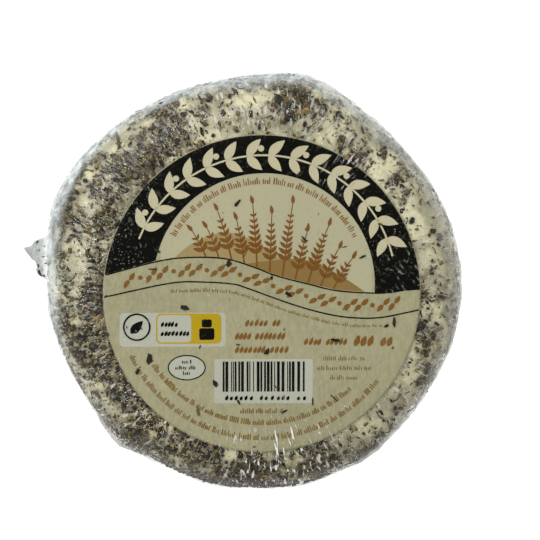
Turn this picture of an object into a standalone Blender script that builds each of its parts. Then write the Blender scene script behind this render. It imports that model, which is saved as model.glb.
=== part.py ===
"""A round soft cheese rolled in chopped herbs, with a paper label on its face and clear film round both.

Metres, +Z up. The cheese lies on its underside with the label up. The origin is the middle of the
underside, where it touches the table, and +Y points to the top of the label.
"""

import math
import random

import bmesh
import bpy
from mathutils import Matrix, Vector, noise

# The cheese, as a perfect round before it settles.
CHEESE_RADIUS = 0.0482  # at mid-height
CHEESE_HEIGHT = 0.0272
EDGE_DEPTH = 0.0110  # how far in from the side its two faces start to round off
EDGE_POWER = 2.4  # 2 would make the edge an ellipse, and more makes it squarer
CRAG_HEIGHT = 0.0002
CRAG_WIDTH = 0.0045

# What lies over it, each by its distance from the cheese.
LABEL_GAP = 0.00030
PAPER = 0.00025
FILM_GAP = 0.00105  # leaves room for the herbs and the label under the film
UNDER_GAP = 0.00050
FILM = 0.00035

LABEL_RADIUS = 0.0380
LABEL_CENTRE = Vector((0.0015, -0.0022, 0.0))  # it was stuck on a little off centre

FILM_LIFT = FILM_GAP + FILM
UNDER_LIFT = UNDER_GAP + FILM
HALF_HEIGHT = CHEESE_HEIGHT / 2
MIDDLE = UNDER_LIFT + HALF_HEIGHT  # height of the cheese's widest line
FLAT_RADIUS = CHEESE_RADIUS - EDGE_DEPTH

# The film's mouth under the cheese, closed by the film's gathered and heat-sealed end.
MOUTH_RADIUS = 0.0105
SEAL_RADIUS = 0.0099
SEAL_FOLD_RADIUS = 0.0065
SEAL_THICKNESS = 0.00055
SEAL_FLAT_RADIUS = 0.0030
PLEAT_RISE = 0.00020  # how far the pleats under the cheese lift off the table
PLEAT_REACH = 0.00035  # how far the pleats up the side stand out
PLEAT_RING = (0.0130, 0.0290)  # the pleats under the cheese lie between these radii

# A corner of film that sticks out flat to the left: how far out it reaches at each distance round
# the side from its tip, and its half height where it leaves the side.
EAR_DIRECTION = math.radians(171.5)
EAR_OUTLINE = (
    (-0.0034, 0.0),
    (-0.0019, 0.0026),
    (0.0, 0.0058),
    (0.0030, 0.0038),
    (0.0068, 0.0024),
    (0.0088, 0.0),
)
EAR_HALF_HEIGHT = 0.0040
EAR_CROWDING = 0.5  # how much closer together the film's lines stand at the ear

# Where the side swells or is drawn in, and where only the film puffs out: direction and spread in
# degrees, and how far.
SWELLINGS = (
    (354, 14, 0.0008),
    (44, 13, -0.0010),
    (75, 9, 0.0020),
    (152, 15, 0.0021),
    (210, 10, -0.0004),
    (285, 10, 0.0011),
)
PUFFS = ((229, 5, 0.0014), (304, 6, 0.0009))
# Slow rises and dips of the top face: height, wavelength and direction in degrees.
DIPS = ((0.00022, 0.046, 20), (0.00016, 0.031, 105), (0.00014, 0.037, 160))

CHEESE_STEPS, LABEL_STEPS, FILM_STEPS, SEAL_STEPS = 60, 48, 80, 36
SHARP_EDGE = math.radians(40)
SMALL_TURN = math.radians(1)
TINY = 1e-6
GOLDEN_TURN = math.pi * (3 - math.sqrt(5))

# The herbs on the edge are half sunk in it. Shapes are widths as shares of the length, from stalks
# to leaves, and the turns are the first and last that herbs reach on the rounded edge.
HERB_PLACES = 116
HERB_TURNS = (72, -44)
HERB_LENGTHS = (0.0026, 0.0052)
HERB_SHAPES = (0.22, 0.38, 0.5)
HERB_STANDS = (0.0004, 0.0006)
HERB_THICKNESS = 0.0013
# Crumbs of herb lie on the label, pressed flat by the film.
CRUMBS = 14
CRUMB_LENGTHS = (0.0016, 0.0026)
CRUMB_SHAPE = 0.4
CRUMB_STAND = 0.00022
CRUMB_THICKNESS = 0.00038
CRUMB_MARGIN = 0.0050  # how far they stay from the label's rim


def swelling(angle, swells=SWELLINGS):
    """How far the side stands out from the perfect round in this direction."""
    total = 0.0
    for direction, spread, height in swells:
        away = math.remainder(angle - math.radians(direction), math.tau)
        total += height * math.exp(-((away / math.radians(spread)) ** 2) / 2)
    return total


def dip(x, y):
    """How far the top face rises at this place."""
    total = 0.0
    for height, wavelength, degrees in DIPS:
        turn = math.radians(degrees)
        along = x * math.cos(turn) + y * math.sin(turn)
        total += height * math.sin(math.tau * along / wavelength)
    return total


def above_middle(height):
    """0 below the cheese's widest line, and rising to 1 at its top face."""
    return min(1.0, max(0.0, (height - MIDDLE) / HALF_HEIGHT))


def settled(point):
    """Where a point of the perfect round ends up on the soft, uneven cheese."""
    x, y, z = point
    radius = math.hypot(x, y)
    angle = math.atan2(y, x)
    radius += swelling(angle) * min(1.0, radius / CHEESE_RADIUS) ** 3
    return Vector((radius * math.cos(angle), radius * math.sin(angle), z + dip(x, y) * above_middle(z)))


def edge_point(turn, lift=0.0):
    """(radius, height) on the rounded edge: turn is 90 degrees at the top face and -90 below."""
    out = math.cos(turn) ** (2 / EDGE_POWER)
    up = math.copysign(abs(math.sin(turn)) ** (2 / EDGE_POWER), turn)
    rise = lift if turn > 0 else min(lift, UNDER_LIFT)
    return FLAT_RADIUS + (EDGE_DEPTH + lift) * out, MIDDLE + (HALF_HEIGHT + rise) * up


def edge_profile(turns, lift=0.0):
    return [edge_point(math.radians(turn), lift) for turn in turns]


def top_point(place, lift):
    """The point of the settled top, lifted, that lies over this place in the plane."""
    radius = place.to_2d().length
    swollen = swelling(math.atan2(place.y, place.x)) * (radius / CHEESE_RADIUS) ** 3
    out = max(0.0, (radius - swollen - FLAT_RADIUS) / (EDGE_DEPTH + lift))
    up = (1 - out**EDGE_POWER) ** (1 / EDGE_POWER)
    height = MIDDLE + (HALF_HEIGHT + lift) * up
    return Vector((place.x, place.y, height + dip(place.x, place.y) * above_middle(height)))


def side_point(place, lift):
    """The point of the settled edge, lifted, that a place near the edge is moved out or in to."""
    radius = place.to_2d().length
    out, up = max(0.0, radius - FLAT_RADIUS), place.z - MIDDLE
    depth, half = EDGE_DEPTH + lift, HALF_HEIGHT + lift
    scale = ((out / depth) ** EDGE_POWER + abs(up / half) ** EDGE_POWER) ** (-1 / EDGE_POWER)
    outwards = (min(radius, FLAT_RADIUS) + out * scale) / radius
    return settled((place.x * outwards, place.y * outwards, MIDDLE + up * scale))


def material(name, colour, roughness, alpha=1.0):
    made = bpy.data.materials.new(name)
    made.use_nodes = True
    shader = made.node_tree.nodes["Principled BSDF"]
    shader.inputs["Base Color"].default_value = (*colour, 1.0)
    shader.inputs["Roughness"].default_value = roughness
    shader.inputs["Metallic"].default_value = 0.0
    shader.inputs["Alpha"].default_value = alpha
    return made


def object_from(bm, name, collection):
    mesh = bpy.data.meshes.new(name)
    bm.to_mesh(mesh)
    bm.free()
    made = bpy.data.objects.new(name, mesh)
    collection.objects.link(made)
    return made


def finished(bm, name, look):
    """A node's object, with its material and its smooth shading."""
    made = object_from(bm, name, bpy.context.scene.collection)
    made.data.materials.append(look)
    shade(made)
    return made


def shade(body):
    body.data.shade_smooth()
    body.data.set_sharp_from_angle(angle=SHARP_EDGE)


def turned(profile, steps):
    """A bmesh with a profile of (radius, height) points spun once round the upright axis."""
    bm = bmesh.new()
    points = [bm.verts.new((radius, 0, height)) for radius, height in profile]
    edges = [bm.edges.new(pair) for pair in zip(points, points[1:])]
    bmesh.ops.spin(bm, geom=points + edges, axis=(0, 0, 1), cent=(0, 0, 0), angle=math.tau, steps=steps)
    bmesh.ops.remove_doubles(bm, verts=bm.verts, dist=TINY)
    bmesh.ops.recalc_face_normals(bm, faces=bm.faces)
    return bm


def crag(point):
    """Relief of the crust at a settled point: none under the label and on the underside."""
    from_label = (point - LABEL_CENTRE).to_2d().length - LABEL_RADIUS
    if point.z > MIDDLE and from_label < CRAG_WIDTH or point.z < UNDER_LIFT + CRAG_HEIGHT:
        return 0.0
    return CRAG_HEIGHT * noise.noise(point / CRAG_WIDTH)


def bare_cheese():
    turns = (90, 76, 62, 48, 34, 20, 7, -7, -21, -36, -52, -70, -90)
    top = [(radius, MIDDLE + HALF_HEIGHT) for radius in (0.0, 0.013, 0.025, 0.033)]
    bm = turned(top + edge_profile(turns) + [(0.0, MIDDLE - HALF_HEIGHT)], CHEESE_STEPS)
    for vert in bm.verts:
        outward = (vert.co - Vector((0, 0, MIDDLE))).normalized()
        place = settled(vert.co)
        vert.co = place + outward * crag(place)
    return finished(bm, "cheese", material("herb_crust", (0.55, 0.51, 0.38), 0.55))


def herb_piece(surface, length, width, thickness, stand, collection):
    """A chopped leaf or stalk that lies on a surface and stands out of it by stand.

    surface(along, across, rise) is the place that far from the piece's middle.
    """
    bm = bmesh.new()
    bmesh.ops.create_cone(bm, cap_ends=True, segments=6, radius1=0.5, radius2=0.42, depth=1.0)
    for vert in bm.verts:
        along, across, up = vert.co
        vert.co = surface(along * length, across * width, stand + (up - 0.5) * thickness)
    object_from(bm, "herb_piece", collection)


def herbs_round_edge(collection, draw):
    """Herbs spread evenly over the rounded edge by the golden turn, clear of the label."""
    first, last = HERB_TURNS
    for step in range(HERB_PLACES):
        angle = step * GOLDEN_TURN
        turn = math.radians(first + (last - first) * step / HERB_PLACES)
        radius, height = edge_point(turn)
        middle = Vector((radius * math.cos(angle), radius * math.sin(angle), height))
        clear = LABEL_RADIUS + max(HERB_LENGTHS) / 2
        if turn > 0 and (middle - LABEL_CENTRE).to_2d().length < clear:
            continue
        slope = Vector(edge_point(turn + SMALL_TURN)) - Vector(edge_point(turn - SMALL_TURN))
        up_edge = Vector((slope.x * math.cos(angle), slope.x * math.sin(angle), slope.y)).normalized()
        round_edge = Vector((-math.sin(angle), math.cos(angle), 0))
        outward = round_edge.cross(up_edge)
        heading = Matrix.Rotation(draw.uniform(0, math.pi), 3, outward) @ round_edge
        sideways = outward.cross(heading)

        def surface(along, across, rise):
            return side_point(middle + heading * along + sideways * across, rise)

        length = draw.uniform(*HERB_LENGTHS)
        width = length * draw.choice(HERB_SHAPES)
        herb_piece(surface, length, width, HERB_THICKNESS, draw.uniform(*HERB_STANDS), collection)


def herbs_on_label(collection, draw):
    """A few crumbs of herb on the label, spread by the golden turn."""
    for step in range(CRUMBS):
        radius = (LABEL_RADIUS - CRUMB_MARGIN) * math.sqrt((step + 0.5) / CRUMBS)
        angle = step * GOLDEN_TURN
        middle = LABEL_CENTRE + Vector((radius * math.cos(angle), radius * math.sin(angle), 0))
        heading = Matrix.Rotation(draw.uniform(0, math.pi), 3, "Z") @ Vector((1, 0, 0))
        sideways = Vector((0, 0, 1)).cross(heading)

        def surface(along, across, rise):
            return top_point(middle + heading * along + sideways * across, LABEL_GAP + PAPER + rise)

        length = draw.uniform(*CRUMB_LENGTHS)
        herb_piece(surface, length, length * CRUMB_SHAPE, CRUMB_THICKNESS, CRUMB_STAND, collection)


def fuse(body, spread, seed):
    """Joins the pieces that spread makes to the body, as one solid."""
    pieces = bpy.data.collections.new("herb_pieces")
    bpy.context.scene.collection.children.link(pieces)
    spread(pieces, random.Random(seed))
    union = body.modifiers.new("herbs", "BOOLEAN")
    union.operation = "UNION"
    union.operand_type = "COLLECTION"
    union.collection = pieces
    bpy.context.view_layer.objects.active = body
    bpy.ops.object.modifier_apply(modifier=union.name)
    for piece in list(pieces.objects):
        bpy.data.objects.remove(piece)
    bpy.data.collections.remove(pieces)
    shade(body)


def bare_label():
    """A paper disc that follows the cheese's top, so that its rim dips over the rounded edge."""
    rings = [LABEL_RADIUS * share for share in (0.0, 0.28, 0.54, 0.78, 1.0)]
    upper = [(radius, PAPER) for radius in rings]
    lower = [(radius, 0.0) for radius in reversed(rings)]
    bm = turned(upper + lower, LABEL_STEPS)
    for vert in bm.verts:
        vert.co = top_point(LABEL_CENTRE + Vector((vert.co.x, vert.co.y, 0)), LABEL_GAP + vert.co.z)
    return finished(bm, "label", material("label_paper", (0.33, 0.32, 0.24), 0.5))


def ear(angle, height):
    """How far the ear pushes the film out here, with the angle counted from its tip."""
    round_way = (CHEESE_RADIUS + FILM_LIFT) * angle
    for (start, low), (end, high) in zip(EAR_OUTLINE, EAR_OUTLINE[1:]):
        if start <= round_way < end:
            reach = low + (high - low) * (round_way - start) / (end - start)
            return reach * max(0.0, 1 - abs(height - MIDDLE) / EAR_HALF_HEIGHT)
    return 0.0


def fold_heights(steps, seed):
    """One fold height, from 0 to 1, for each line of a turned film."""
    draw = random.Random(seed)
    return [draw.choice((0.0, 0.0, 0.35, 0.6, 1.0)) for _ in range(steps)]


def film():
    """The clear film: one skin over the label and down the side, drawn in underneath to its mouth."""
    turns = (90, 70, 54, 40, 28, 18, 9, 0, -9, -18, -28, -40, -54, -72, -90)
    top = [(radius, MIDDLE + HALF_HEIGHT + FILM_LIFT) for radius in (0.0, 0.013, 0.026)]
    bottom = [(radius, 0.0) for radius in (*reversed(PLEAT_RING), MOUTH_RADIUS)]
    bm = turned(top + edge_profile(turns, FILM_LIFT) + bottom, FILM_STEPS)
    folds = fold_heights(FILM_STEPS, 4)
    for vert in bm.verts:
        x, y, z = vert.co
        radius = math.hypot(x, y)
        angle = math.remainder(math.atan2(y, x), math.tau)
        fold = folds[round(angle / math.tau * FILM_STEPS) % FILM_STEPS]
        angle -= EAR_CROWDING * math.sin(angle) * (1 + math.cos(angle)) / 2
        if z < PLEAT_RISE and PLEAT_RING[0] - TINY <= radius <= PLEAT_RING[1] + TINY:
            z += PLEAT_RISE * fold
        side = min(1.0, 2 * max(0.0, 1 - abs(z - MIDDLE) / MIDDLE))
        direction = angle + EAR_DIRECTION
        radius += ear(angle, z) + (PLEAT_REACH * fold + swelling(direction, PUFFS)) * side
        vert.co = settled((radius * math.cos(direction), radius * math.sin(direction), z))
    skin = finished(bm, "film", material("clear_film", (0.80, 0.83, 0.82), 0.15, 0.25))
    wall = skin.modifiers.new("wall", "SOLIDIFY")
    wall.thickness = FILM
    wall.offset = -1


def film_seal():
    """The film's end: its pleats gathered over the mouth and pressed flat with heat."""
    under = [(radius, 0.0) for radius in (SEAL_RADIUS, SEAL_FOLD_RADIUS, SEAL_FLAT_RADIUS, 0.0)]
    over = [(0.0, SEAL_THICKNESS), (SEAL_RADIUS, SEAL_THICKNESS)]
    bm = turned(over + under, SEAL_STEPS)
    folds = fold_heights(SEAL_STEPS, 9)
    for vert in bm.verts:
        x, y, z = vert.co
        if z == 0 and math.hypot(x, y) > SEAL_FLAT_RADIUS + TINY:
            angle = math.atan2(y, x)
            vert.co.z = PLEAT_RISE * folds[round(angle / math.tau * SEAL_STEPS) % SEAL_STEPS]
    finished(bm, "film_seal", material("sealed_film", (0.62, 0.64, 0.62), 0.30, 0.6))


def main():
    for old in list(bpy.data.objects):
        bpy.data.objects.remove(old)
    fuse(bare_cheese(), herbs_round_edge, 11)
    fuse(bare_label(), herbs_on_label, 5)
    film()
    film_seal()


main()
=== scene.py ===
# %% [markdown]
# # A herb cheese in clear film
#
# A low round soft cheese has been rolled in chopped herbs, given a round paper label and wrapped in
# clear film. Five things make it look like itself, and each has its own part of this lesson: the
# moist, lumpy cheese, the thousands of herb scraps on it, the printed label, the wrinkled film over
# everything, and the light that makes the film glint.
#
# Every surface here is a formula worked out on a whole grid of numbers at once with numpy.

import math

import bpy
import numpy as np
from mathutils import Matrix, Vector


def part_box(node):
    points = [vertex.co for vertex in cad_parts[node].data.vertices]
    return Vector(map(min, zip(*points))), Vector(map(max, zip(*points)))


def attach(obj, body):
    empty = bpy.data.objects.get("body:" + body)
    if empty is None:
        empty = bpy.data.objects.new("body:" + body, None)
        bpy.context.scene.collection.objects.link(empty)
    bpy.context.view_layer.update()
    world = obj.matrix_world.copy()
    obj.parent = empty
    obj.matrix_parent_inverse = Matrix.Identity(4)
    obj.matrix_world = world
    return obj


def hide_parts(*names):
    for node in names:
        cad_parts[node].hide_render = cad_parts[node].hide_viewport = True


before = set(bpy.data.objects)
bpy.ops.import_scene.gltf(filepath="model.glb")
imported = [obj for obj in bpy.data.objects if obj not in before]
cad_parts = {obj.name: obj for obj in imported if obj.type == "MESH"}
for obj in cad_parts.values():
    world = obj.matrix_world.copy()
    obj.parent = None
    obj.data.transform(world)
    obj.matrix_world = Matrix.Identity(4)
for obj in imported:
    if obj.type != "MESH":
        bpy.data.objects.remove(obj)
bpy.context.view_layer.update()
MM = 0.001
print("solids in the frame:", sorted(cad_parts))

# %% [markdown]
# ## The form under everything
#
# The cheese, the label and the film all follow one form: a round with a flat top, a rounded edge and
# a flat underside, which has settled a little out of true. We could model each of them separately
# and fit them together, but it is far easier to describe the form once and lift each layer off it by
# its own small distance. A place on the form then needs only three numbers: how far round it is, how
# far out from the middle of the top it is along the profile, and how far off the surface.

# %% Sizes of the form
CHEESE_RADIUS = 48.2 * MM
CHEESE_HEIGHT = 27.2 * MM
EDGE_DEPTH = 11.0 * MM
EDGE_POWER = 2.4
FLAT_RADIUS = CHEESE_RADIUS - EDGE_DEPTH
HALF_HEIGHT = CHEESE_HEIGHT / 2
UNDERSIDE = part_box("cheese")[0][2]
MIDDLE = UNDERSIDE + HALF_HEIGHT

label_low, label_high = (np.array(corner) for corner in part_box("label"))
LABEL_CENTRE = (label_low + label_high)[:2] / 2
LABEL_RADIUS = (label_high - label_low)[0] / 2
print("label radius", round(LABEL_RADIUS / MM, 2), "mm, centre", (LABEL_CENTRE / MM).round(2), "mm")

# Where the side swells or is drawn in, and where only the film puffs out: direction and spread in
# degrees, and how far.
SWELLINGS = (
    (354, 14, 0.8 * MM),
    (44, 13, -1.0 * MM),
    (75, 9, 2.0 * MM),
    (152, 15, 2.1 * MM),
    (210, 10, -0.4 * MM),
    (285, 10, 1.1 * MM),
)
PUFFS = ((229, 5, 1.7 * MM), (304, 6, 0.9 * MM))
# Where the whole coat stands a little fuller at the side.
FULLNESS = (
    (12, 16, 0.3 * MM),
    (50, 6, 0.35 * MM),
    (160, 5, 0.5 * MM),
    (190, 5, 0.3 * MM),
    (260, 6, 0.7 * MM),
    (279, 5, 0.05 * MM),
    (300, 7, 0.2 * MM),
    (318, 9, 0.5 * MM),
    (341, 7, 0.4 * MM),
)
# Slow rises and dips of the top face: height, wavelength and direction in degrees.
DIPS = ((0.22 * MM, 46 * MM, 20), (0.16 * MM, 31 * MM, 105), (0.14 * MM, 37 * MM, 160))


# %% The settled form
def swelling(angle, swells=SWELLINGS):
    """Sum of bell curves round the side, each with its own direction, spread and height."""
    total = np.zeros_like(angle)
    for direction, spread, height in swells:
        away = np.angle(np.exp(1j * (angle - math.radians(direction))))
        total += height * np.exp(-((away / math.radians(spread)) ** 2) / 2)
    return total


def dip(x, y):
    """Sum of three slow sine waves across the top face."""
    total = np.zeros_like(x)
    for height, wavelength, degrees in DIPS:
        turn = math.radians(degrees)
        along = x * math.cos(turn) + y * math.sin(turn)
        total += height * np.sin(math.tau * along / wavelength)
    return total


def above_middle(height):
    """0 below the widest line, rising to 1 at the top face."""
    return np.clip((height - MIDDLE) / HALF_HEIGHT, 0, 1)


def settled(angle, radius, height):
    """Points of the uneven cheese from those of a perfect round.

    The radius grows by the swelling times the cube of its share of the whole radius, and the height
    by the dip, which fades out from the top face down to the widest line.
    """
    radius = radius + swelling(angle) * np.clip(radius / CHEESE_RADIUS, 0, 1) ** 3
    x, y = radius * np.cos(angle), radius * np.sin(angle)
    return np.stack([x, y, height + dip(x, y) * above_middle(height)], axis=-1)


# %% The profile, measured along its length
EDGE_SAMPLES = 361
edge_turn = np.linspace(math.pi / 2, -math.pi / 2, EDGE_SAMPLES)
edge_out = np.abs(np.cos(edge_turn)) ** (2 / EDGE_POWER)
edge_up = np.sign(np.sin(edge_turn)) * np.abs(np.sin(edge_turn)) ** (2 / EDGE_POWER)
profile_radius = np.concatenate([[0.0], FLAT_RADIUS + EDGE_DEPTH * edge_out, [0.0]])
profile_height = MIDDLE + np.concatenate([[HALF_HEIGHT], HALF_HEIGHT * edge_up, [-HALF_HEIGHT]])
step_lengths = np.hypot(np.diff(profile_radius), np.diff(profile_height))
profile_length = np.concatenate([[0.0], np.cumsum(step_lengths)])
WHOLE_LENGTH = profile_length[-1]
EDGE_START = FLAT_RADIUS
EDGE_END = WHOLE_LENGTH - FLAT_RADIUS
edge_length = round((EDGE_END - EDGE_START) / MM, 1)
print("profile length", round(WHOLE_LENGTH / MM, 1), "mm, of which the edge", edge_length, "mm")

climb = np.gradient(profile_height, profile_length)
spread_out = np.gradient(profile_radius, profile_length)
profile_slope = np.clip(np.unwrap(np.arctan2(climb, spread_out)), -math.pi, 0)


def on_form(angle, along, lift=0.0, push=0.0):
    """Places so far round and so far along the profile, lifted square to it and pushed outwards."""
    facing = np.interp(along, profile_length, profile_slope) + math.pi / 2
    radius = np.interp(along, profile_length, profile_radius) + lift * np.cos(facing) + push
    height = np.interp(along, profile_length, profile_height) + lift * np.sin(facing)
    return settled(angle, np.maximum(radius, 0), height)


def frames_on_form(angle, along):
    """Three directions at each place, square to each other: down the profile, round and outwards."""
    small = 0.1 * MM
    down = on_form(angle, along + small) - on_form(angle, along - small)
    down /= np.linalg.norm(down, axis=-1, keepdims=True)
    step = small / np.maximum(np.interp(along, profile_length, profile_radius), MM)
    round_way = on_form(angle + step, along) - on_form(angle - step, along)
    outward = np.cross(down, round_way)
    outward /= np.linalg.norm(outward, axis=-1, keepdims=True)
    return down, np.cross(outward, down), outward


# %% [markdown]
# ## Noise that numpy can work out
#
# Nothing on a fresh cheese is regular, so most shapes below are roughened with noise. Blender has
# noise functions, but they take one point at a time. This one takes a whole array: it gives each
# corner of an imagined lattice a random number and blends smoothly between the eight corners round
# each point.


# %% Smooth noise and ridges
def lattice_value(cells, seed):
    """A number from 0 to 1 for each lattice corner: its three counts, multiplied and bit-mixed."""
    mixed = cells[..., 0] * 374761393 + cells[..., 1] * 668265263 + cells[..., 2] * 1440662683
    mixed = (mixed + seed * 362437) & 0xFFFFFFFF
    mixed = ((mixed ^ (mixed >> 13)) * 1274126177) & 0xFFFFFFFF
    return ((mixed ^ (mixed >> 16)) & 0xFFFF) / 0xFFFF


def lumps(points, size, seed):
    """Smooth noise from -1 to 1 with lumps about one size wide: a blend of eight lattice corners."""
    scaled = points / np.asarray(size)
    cells = np.floor(scaled).astype(np.int64)
    blend = scaled - cells
    blend = blend * blend * (3 - 2 * blend)
    total = np.zeros(points.shape[:-1])
    for corner in np.ndindex(2, 2, 2):
        share = np.prod(np.where(np.array(corner) == 1, blend, 1 - blend), axis=-1)
        total += share * lattice_value(cells + np.array(corner), seed)
    return 2 * total - 1


def ridges(points, size, seed):
    """Sharp crests from 0 to 1 where smooth noise passes through zero: 1 minus its size, squared."""
    return np.clip(1 - 2.2 * np.abs(lumps(points, size, seed)), 0, 1) ** 2


def smooth_step(value, low, high):
    """0 below low, 1 above high, and a smooth S between them."""
    share = np.clip((value - low) / (high - low), 0, 1)
    return share * share * (3 - 2 * share)


# %% [markdown]
# ## From grids to meshes
#
# Blender wants a list of points and a list of faces. For a grid those faces follow a fixed rule, so
# two helpers do it for every piece: one for a grid that closes round a middle point, such as the
# cheese or the film, and one for a heap of many small shapes that all have the same faces.


# %% Mesh helpers
def new_piece(name, points, faces, smooth=True):
    """A mesh object from an array of points and a list of faces, shown in the scene."""
    mesh = bpy.data.meshes.new(name)
    mesh.from_pydata(points.tolist(), [], faces)
    mesh.polygons.foreach_set("use_smooth", [smooth] * len(mesh.polygons))
    mesh.update()
    piece = bpy.data.objects.new(name, mesh)
    bpy.context.scene.collection.objects.link(piece)
    return piece


def round_faces(rows, columns, closed_below):
    """Faces of rings of points that close round: quads, and a fan at each pole.

    Ring r, column c is point r * columns + c, then comes the top pole and, if closed, the bottom one.
    """
    ring = np.arange(columns)
    beside = np.roll(ring, -1)
    upper = np.arange(rows - 1)[:, None] * columns
    lower = upper + columns
    quads = np.stack([upper + ring, lower + ring, lower + beside, upper + beside], axis=-1)
    top_pole = rows * columns
    fans = np.stack([np.full(columns, top_pole), ring, beside], axis=-1).tolist()
    if closed_below:
        last = (rows - 1) * columns
        fans += np.stack([np.full(columns, top_pole + 1), last + beside, last + ring], axis=-1).tolist()
    return quads.reshape(-1, 4).tolist() + fans


def set_attribute(piece, name, values):
    """Stores one number for each point of a piece, for its material to read."""
    layer = piece.data.attributes.new(name, "FLOAT", "POINT")
    layer.data.foreach_set("value", np.asarray(values, dtype=np.float32).ravel())


def spread_rows(*stretches):
    """Row positions from (end, rows) stretches, each evenly spaced, starting just off the middle."""
    rows, start = [], 0.0
    for end, count in stretches:
        rows.append(np.linspace(start, end, count, endpoint=False) + (end - start) / count)
        start = end
    return np.concatenate(rows)


# %% [markdown]
# ## The damp cheese
#
# Real fresh cheese is a pale curd that was pressed into shape: broad soft lumps, smaller dents where
# curds met, and pits. Under film it sweats, and the wet places look darker and greyer than the dry
# cream ones. The surface is a fine grid over the form, pushed in and out by noise of three sizes.
# The dents are also stored as a number on each point, so that the material can paint shade in them.

# %% Where the coat is heavy
# How heavy the herb coat is in each direction: degrees, beside the label, further out.
COAT = (
    (0, 0.78, 0.22),
    (30, 0.44, 0.30),
    (60, 0.72, 0.70),
    (90, 0.58, 0.92),
    (120, 1.10, 0.98),
    (150, 1.76, 0.76),
    (180, 2.10, 0.62),
    (210, 1.95, 1.10),
    (240, 1.30, 0.94),
    (270, 0.68, 1.24),
    (300, 0.72, 0.90),
    (330, 0.36, 0.62),
)


def by_direction(degrees, table):
    """Each further column of a table at these directions, blended between its rows right round."""
    direction, *columns = np.array(table).T
    return [np.interp(degrees, direction, column, period=360) for column in columns]


def from_label(points):
    """Distance outside the label's rim, measured flat."""
    return np.linalg.norm(points[..., :2] - LABEL_CENTRE, axis=-1) - LABEL_RADIUS


def coat_share(points):
    """The coat's weight at each place: two values by direction, blended by the distance from the label."""
    blend = smooth_step(from_label(points), 1.5 * MM, 7.0 * MM)
    blend = np.where(points[..., 2] > MIDDLE, blend, 1.0)
    near, far = by_direction(np.degrees(np.arctan2(points[..., 1], points[..., 0])), COAT)
    return near * (1 - blend) + far * blend


def clumps(points):
    """0 on bare curd and 1 in a clump: noise of three sizes, which a heavier coat lifts."""
    mixed = lumps(points, 7.0 * MM, 11) + 0.7 * lumps(points, 3.0 * MM, 12)
    mixed = mixed + 0.35 * lumps(points, 1.3 * MM, 13)
    return smooth_step(mixed + 1.05 * (coat_share(points) - 0.80), -0.30, 0.26)


def side_fill(along):
    """How much fuller the coated side is than the bare curd: the herbs press the film out there."""
    low_end = 1 - smooth_step(along, EDGE_END - 8 * MM, EDGE_END - 2 * MM)
    return 0.58 * MM * smooth_step(along, EDGE_START + 5 * MM, EDGE_START + 13 * MM) * low_end


# %% Shape of the cheese
CHEESE_COLUMNS = 560
cheese_rows = spread_rows(
    (34 * MM, 8), (EDGE_START, 7), (EDGE_END, 84), (EDGE_END + 12 * MM, 18), (WHOLE_LENGTH - MM, 20)
)
cheese_angle = np.linspace(0, math.tau, CHEESE_COLUMNS, endpoint=False)


def under_label(points):
    """1 well inside the label's rim on the top, falling to 0 outside it."""
    return (1 - smooth_step(from_label(points), -1.5 * MM, 0.5 * MM)) * (points[..., 2] > MIDDLE)


def curd_relief(points):
    """Height of the curd: broad lumps, smaller lumps, and pits where fine noise runs low."""
    broad = 0.16 * lumps(points, 9 * MM, 1)
    small = 0.13 * lumps(points, 3.2 * MM, 2)
    grain = 0.05 * lumps(points, 1.3 * MM, 3)
    pits = 0.32 * smooth_step(lumps(points, 2.2 * MM, 4), 0.32, 0.75)
    creases = 0.16 * ridges(points, 5.5 * MM, 5)
    return (broad + small + grain - pits - creases) * MM


def cheese_surface(angle, along):
    """Points of the curd, and how deep each lies below the cheese's form."""
    bare = on_form(angle, along)
    flat = on_form(angle, along, 0.1 * MM) - bare
    outward = flat / np.linalg.norm(flat, axis=-1, keepdims=True)
    relief = curd_relief(bare) * (1 - under_label(bare))
    underneath = smooth_step(along, EDGE_END - 4 * MM, EDGE_END)
    relief = np.minimum(relief, 0.25 * MM) + 0.1 * MM * underneath + side_fill(along)
    return bare + outward * relief[..., None], (side_fill(along) - relief) / MM


grid_angle, grid_along = np.meshgrid(cheese_angle, cheese_rows)
curd_points, curd_depth = cheese_surface(grid_angle, grid_along)
poles = cheese_surface(np.zeros(2), np.array([0.0, WHOLE_LENGTH]))[0]
curd = new_piece(
    "cheese_curd",
    np.concatenate([curd_points.reshape(-1, 3), poles]),
    round_faces(len(cheese_rows), CHEESE_COLUMNS, True),
)
set_attribute(curd, "depth", np.append(curd_depth, [0, 0]))
# Painted dark under each clump: partly juice stain, and partly a painted shadow that falls a little
# away from the key light, to the lower right.
STAIN_AND_SHADOW_SHIFT = np.array([0.3, -0.4, 0.0]) * MM
stain_and_shadow = clumps(curd_points + STAIN_AND_SHADOW_SHIFT) * (0.85 + 0.4 * lumps(curd_points, 5 * MM, 14))
stain_and_shadow = np.clip(stain_and_shadow, 0, 1) * (1 - under_label(curd_points))
set_attribute(curd, "stain_and_shadow", np.append(stain_and_shadow, [0, 0]))
print("cheese faces:", len(curd.data.polygons))

# %% [markdown]
# ## Materials with shared effects
#
# Several materials need the same two effects: damp patches, and a fine grain for the bump. Each effect
# is built once as a node group and then placed wherever it is needed with its own numbers. A group
# hands out only masks and heights; the shader itself stays in the material.


# %% Node helpers
def new_material(name):
    """A material with nodes, and its Principled shader."""
    made = bpy.data.materials.new(name)
    made.use_nodes = True
    return made, made.node_tree, made.node_tree.nodes["Principled BSDF"]


def feed(tree, given, socket):
    """Links an input to another node's output, or gives it a number or a colour."""
    if isinstance(given, bpy.types.NodeSocket):
        tree.links.new(given, socket)
    else:
        socket.default_value = (*given, 1.0) if socket.type == "RGBA" else given


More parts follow.
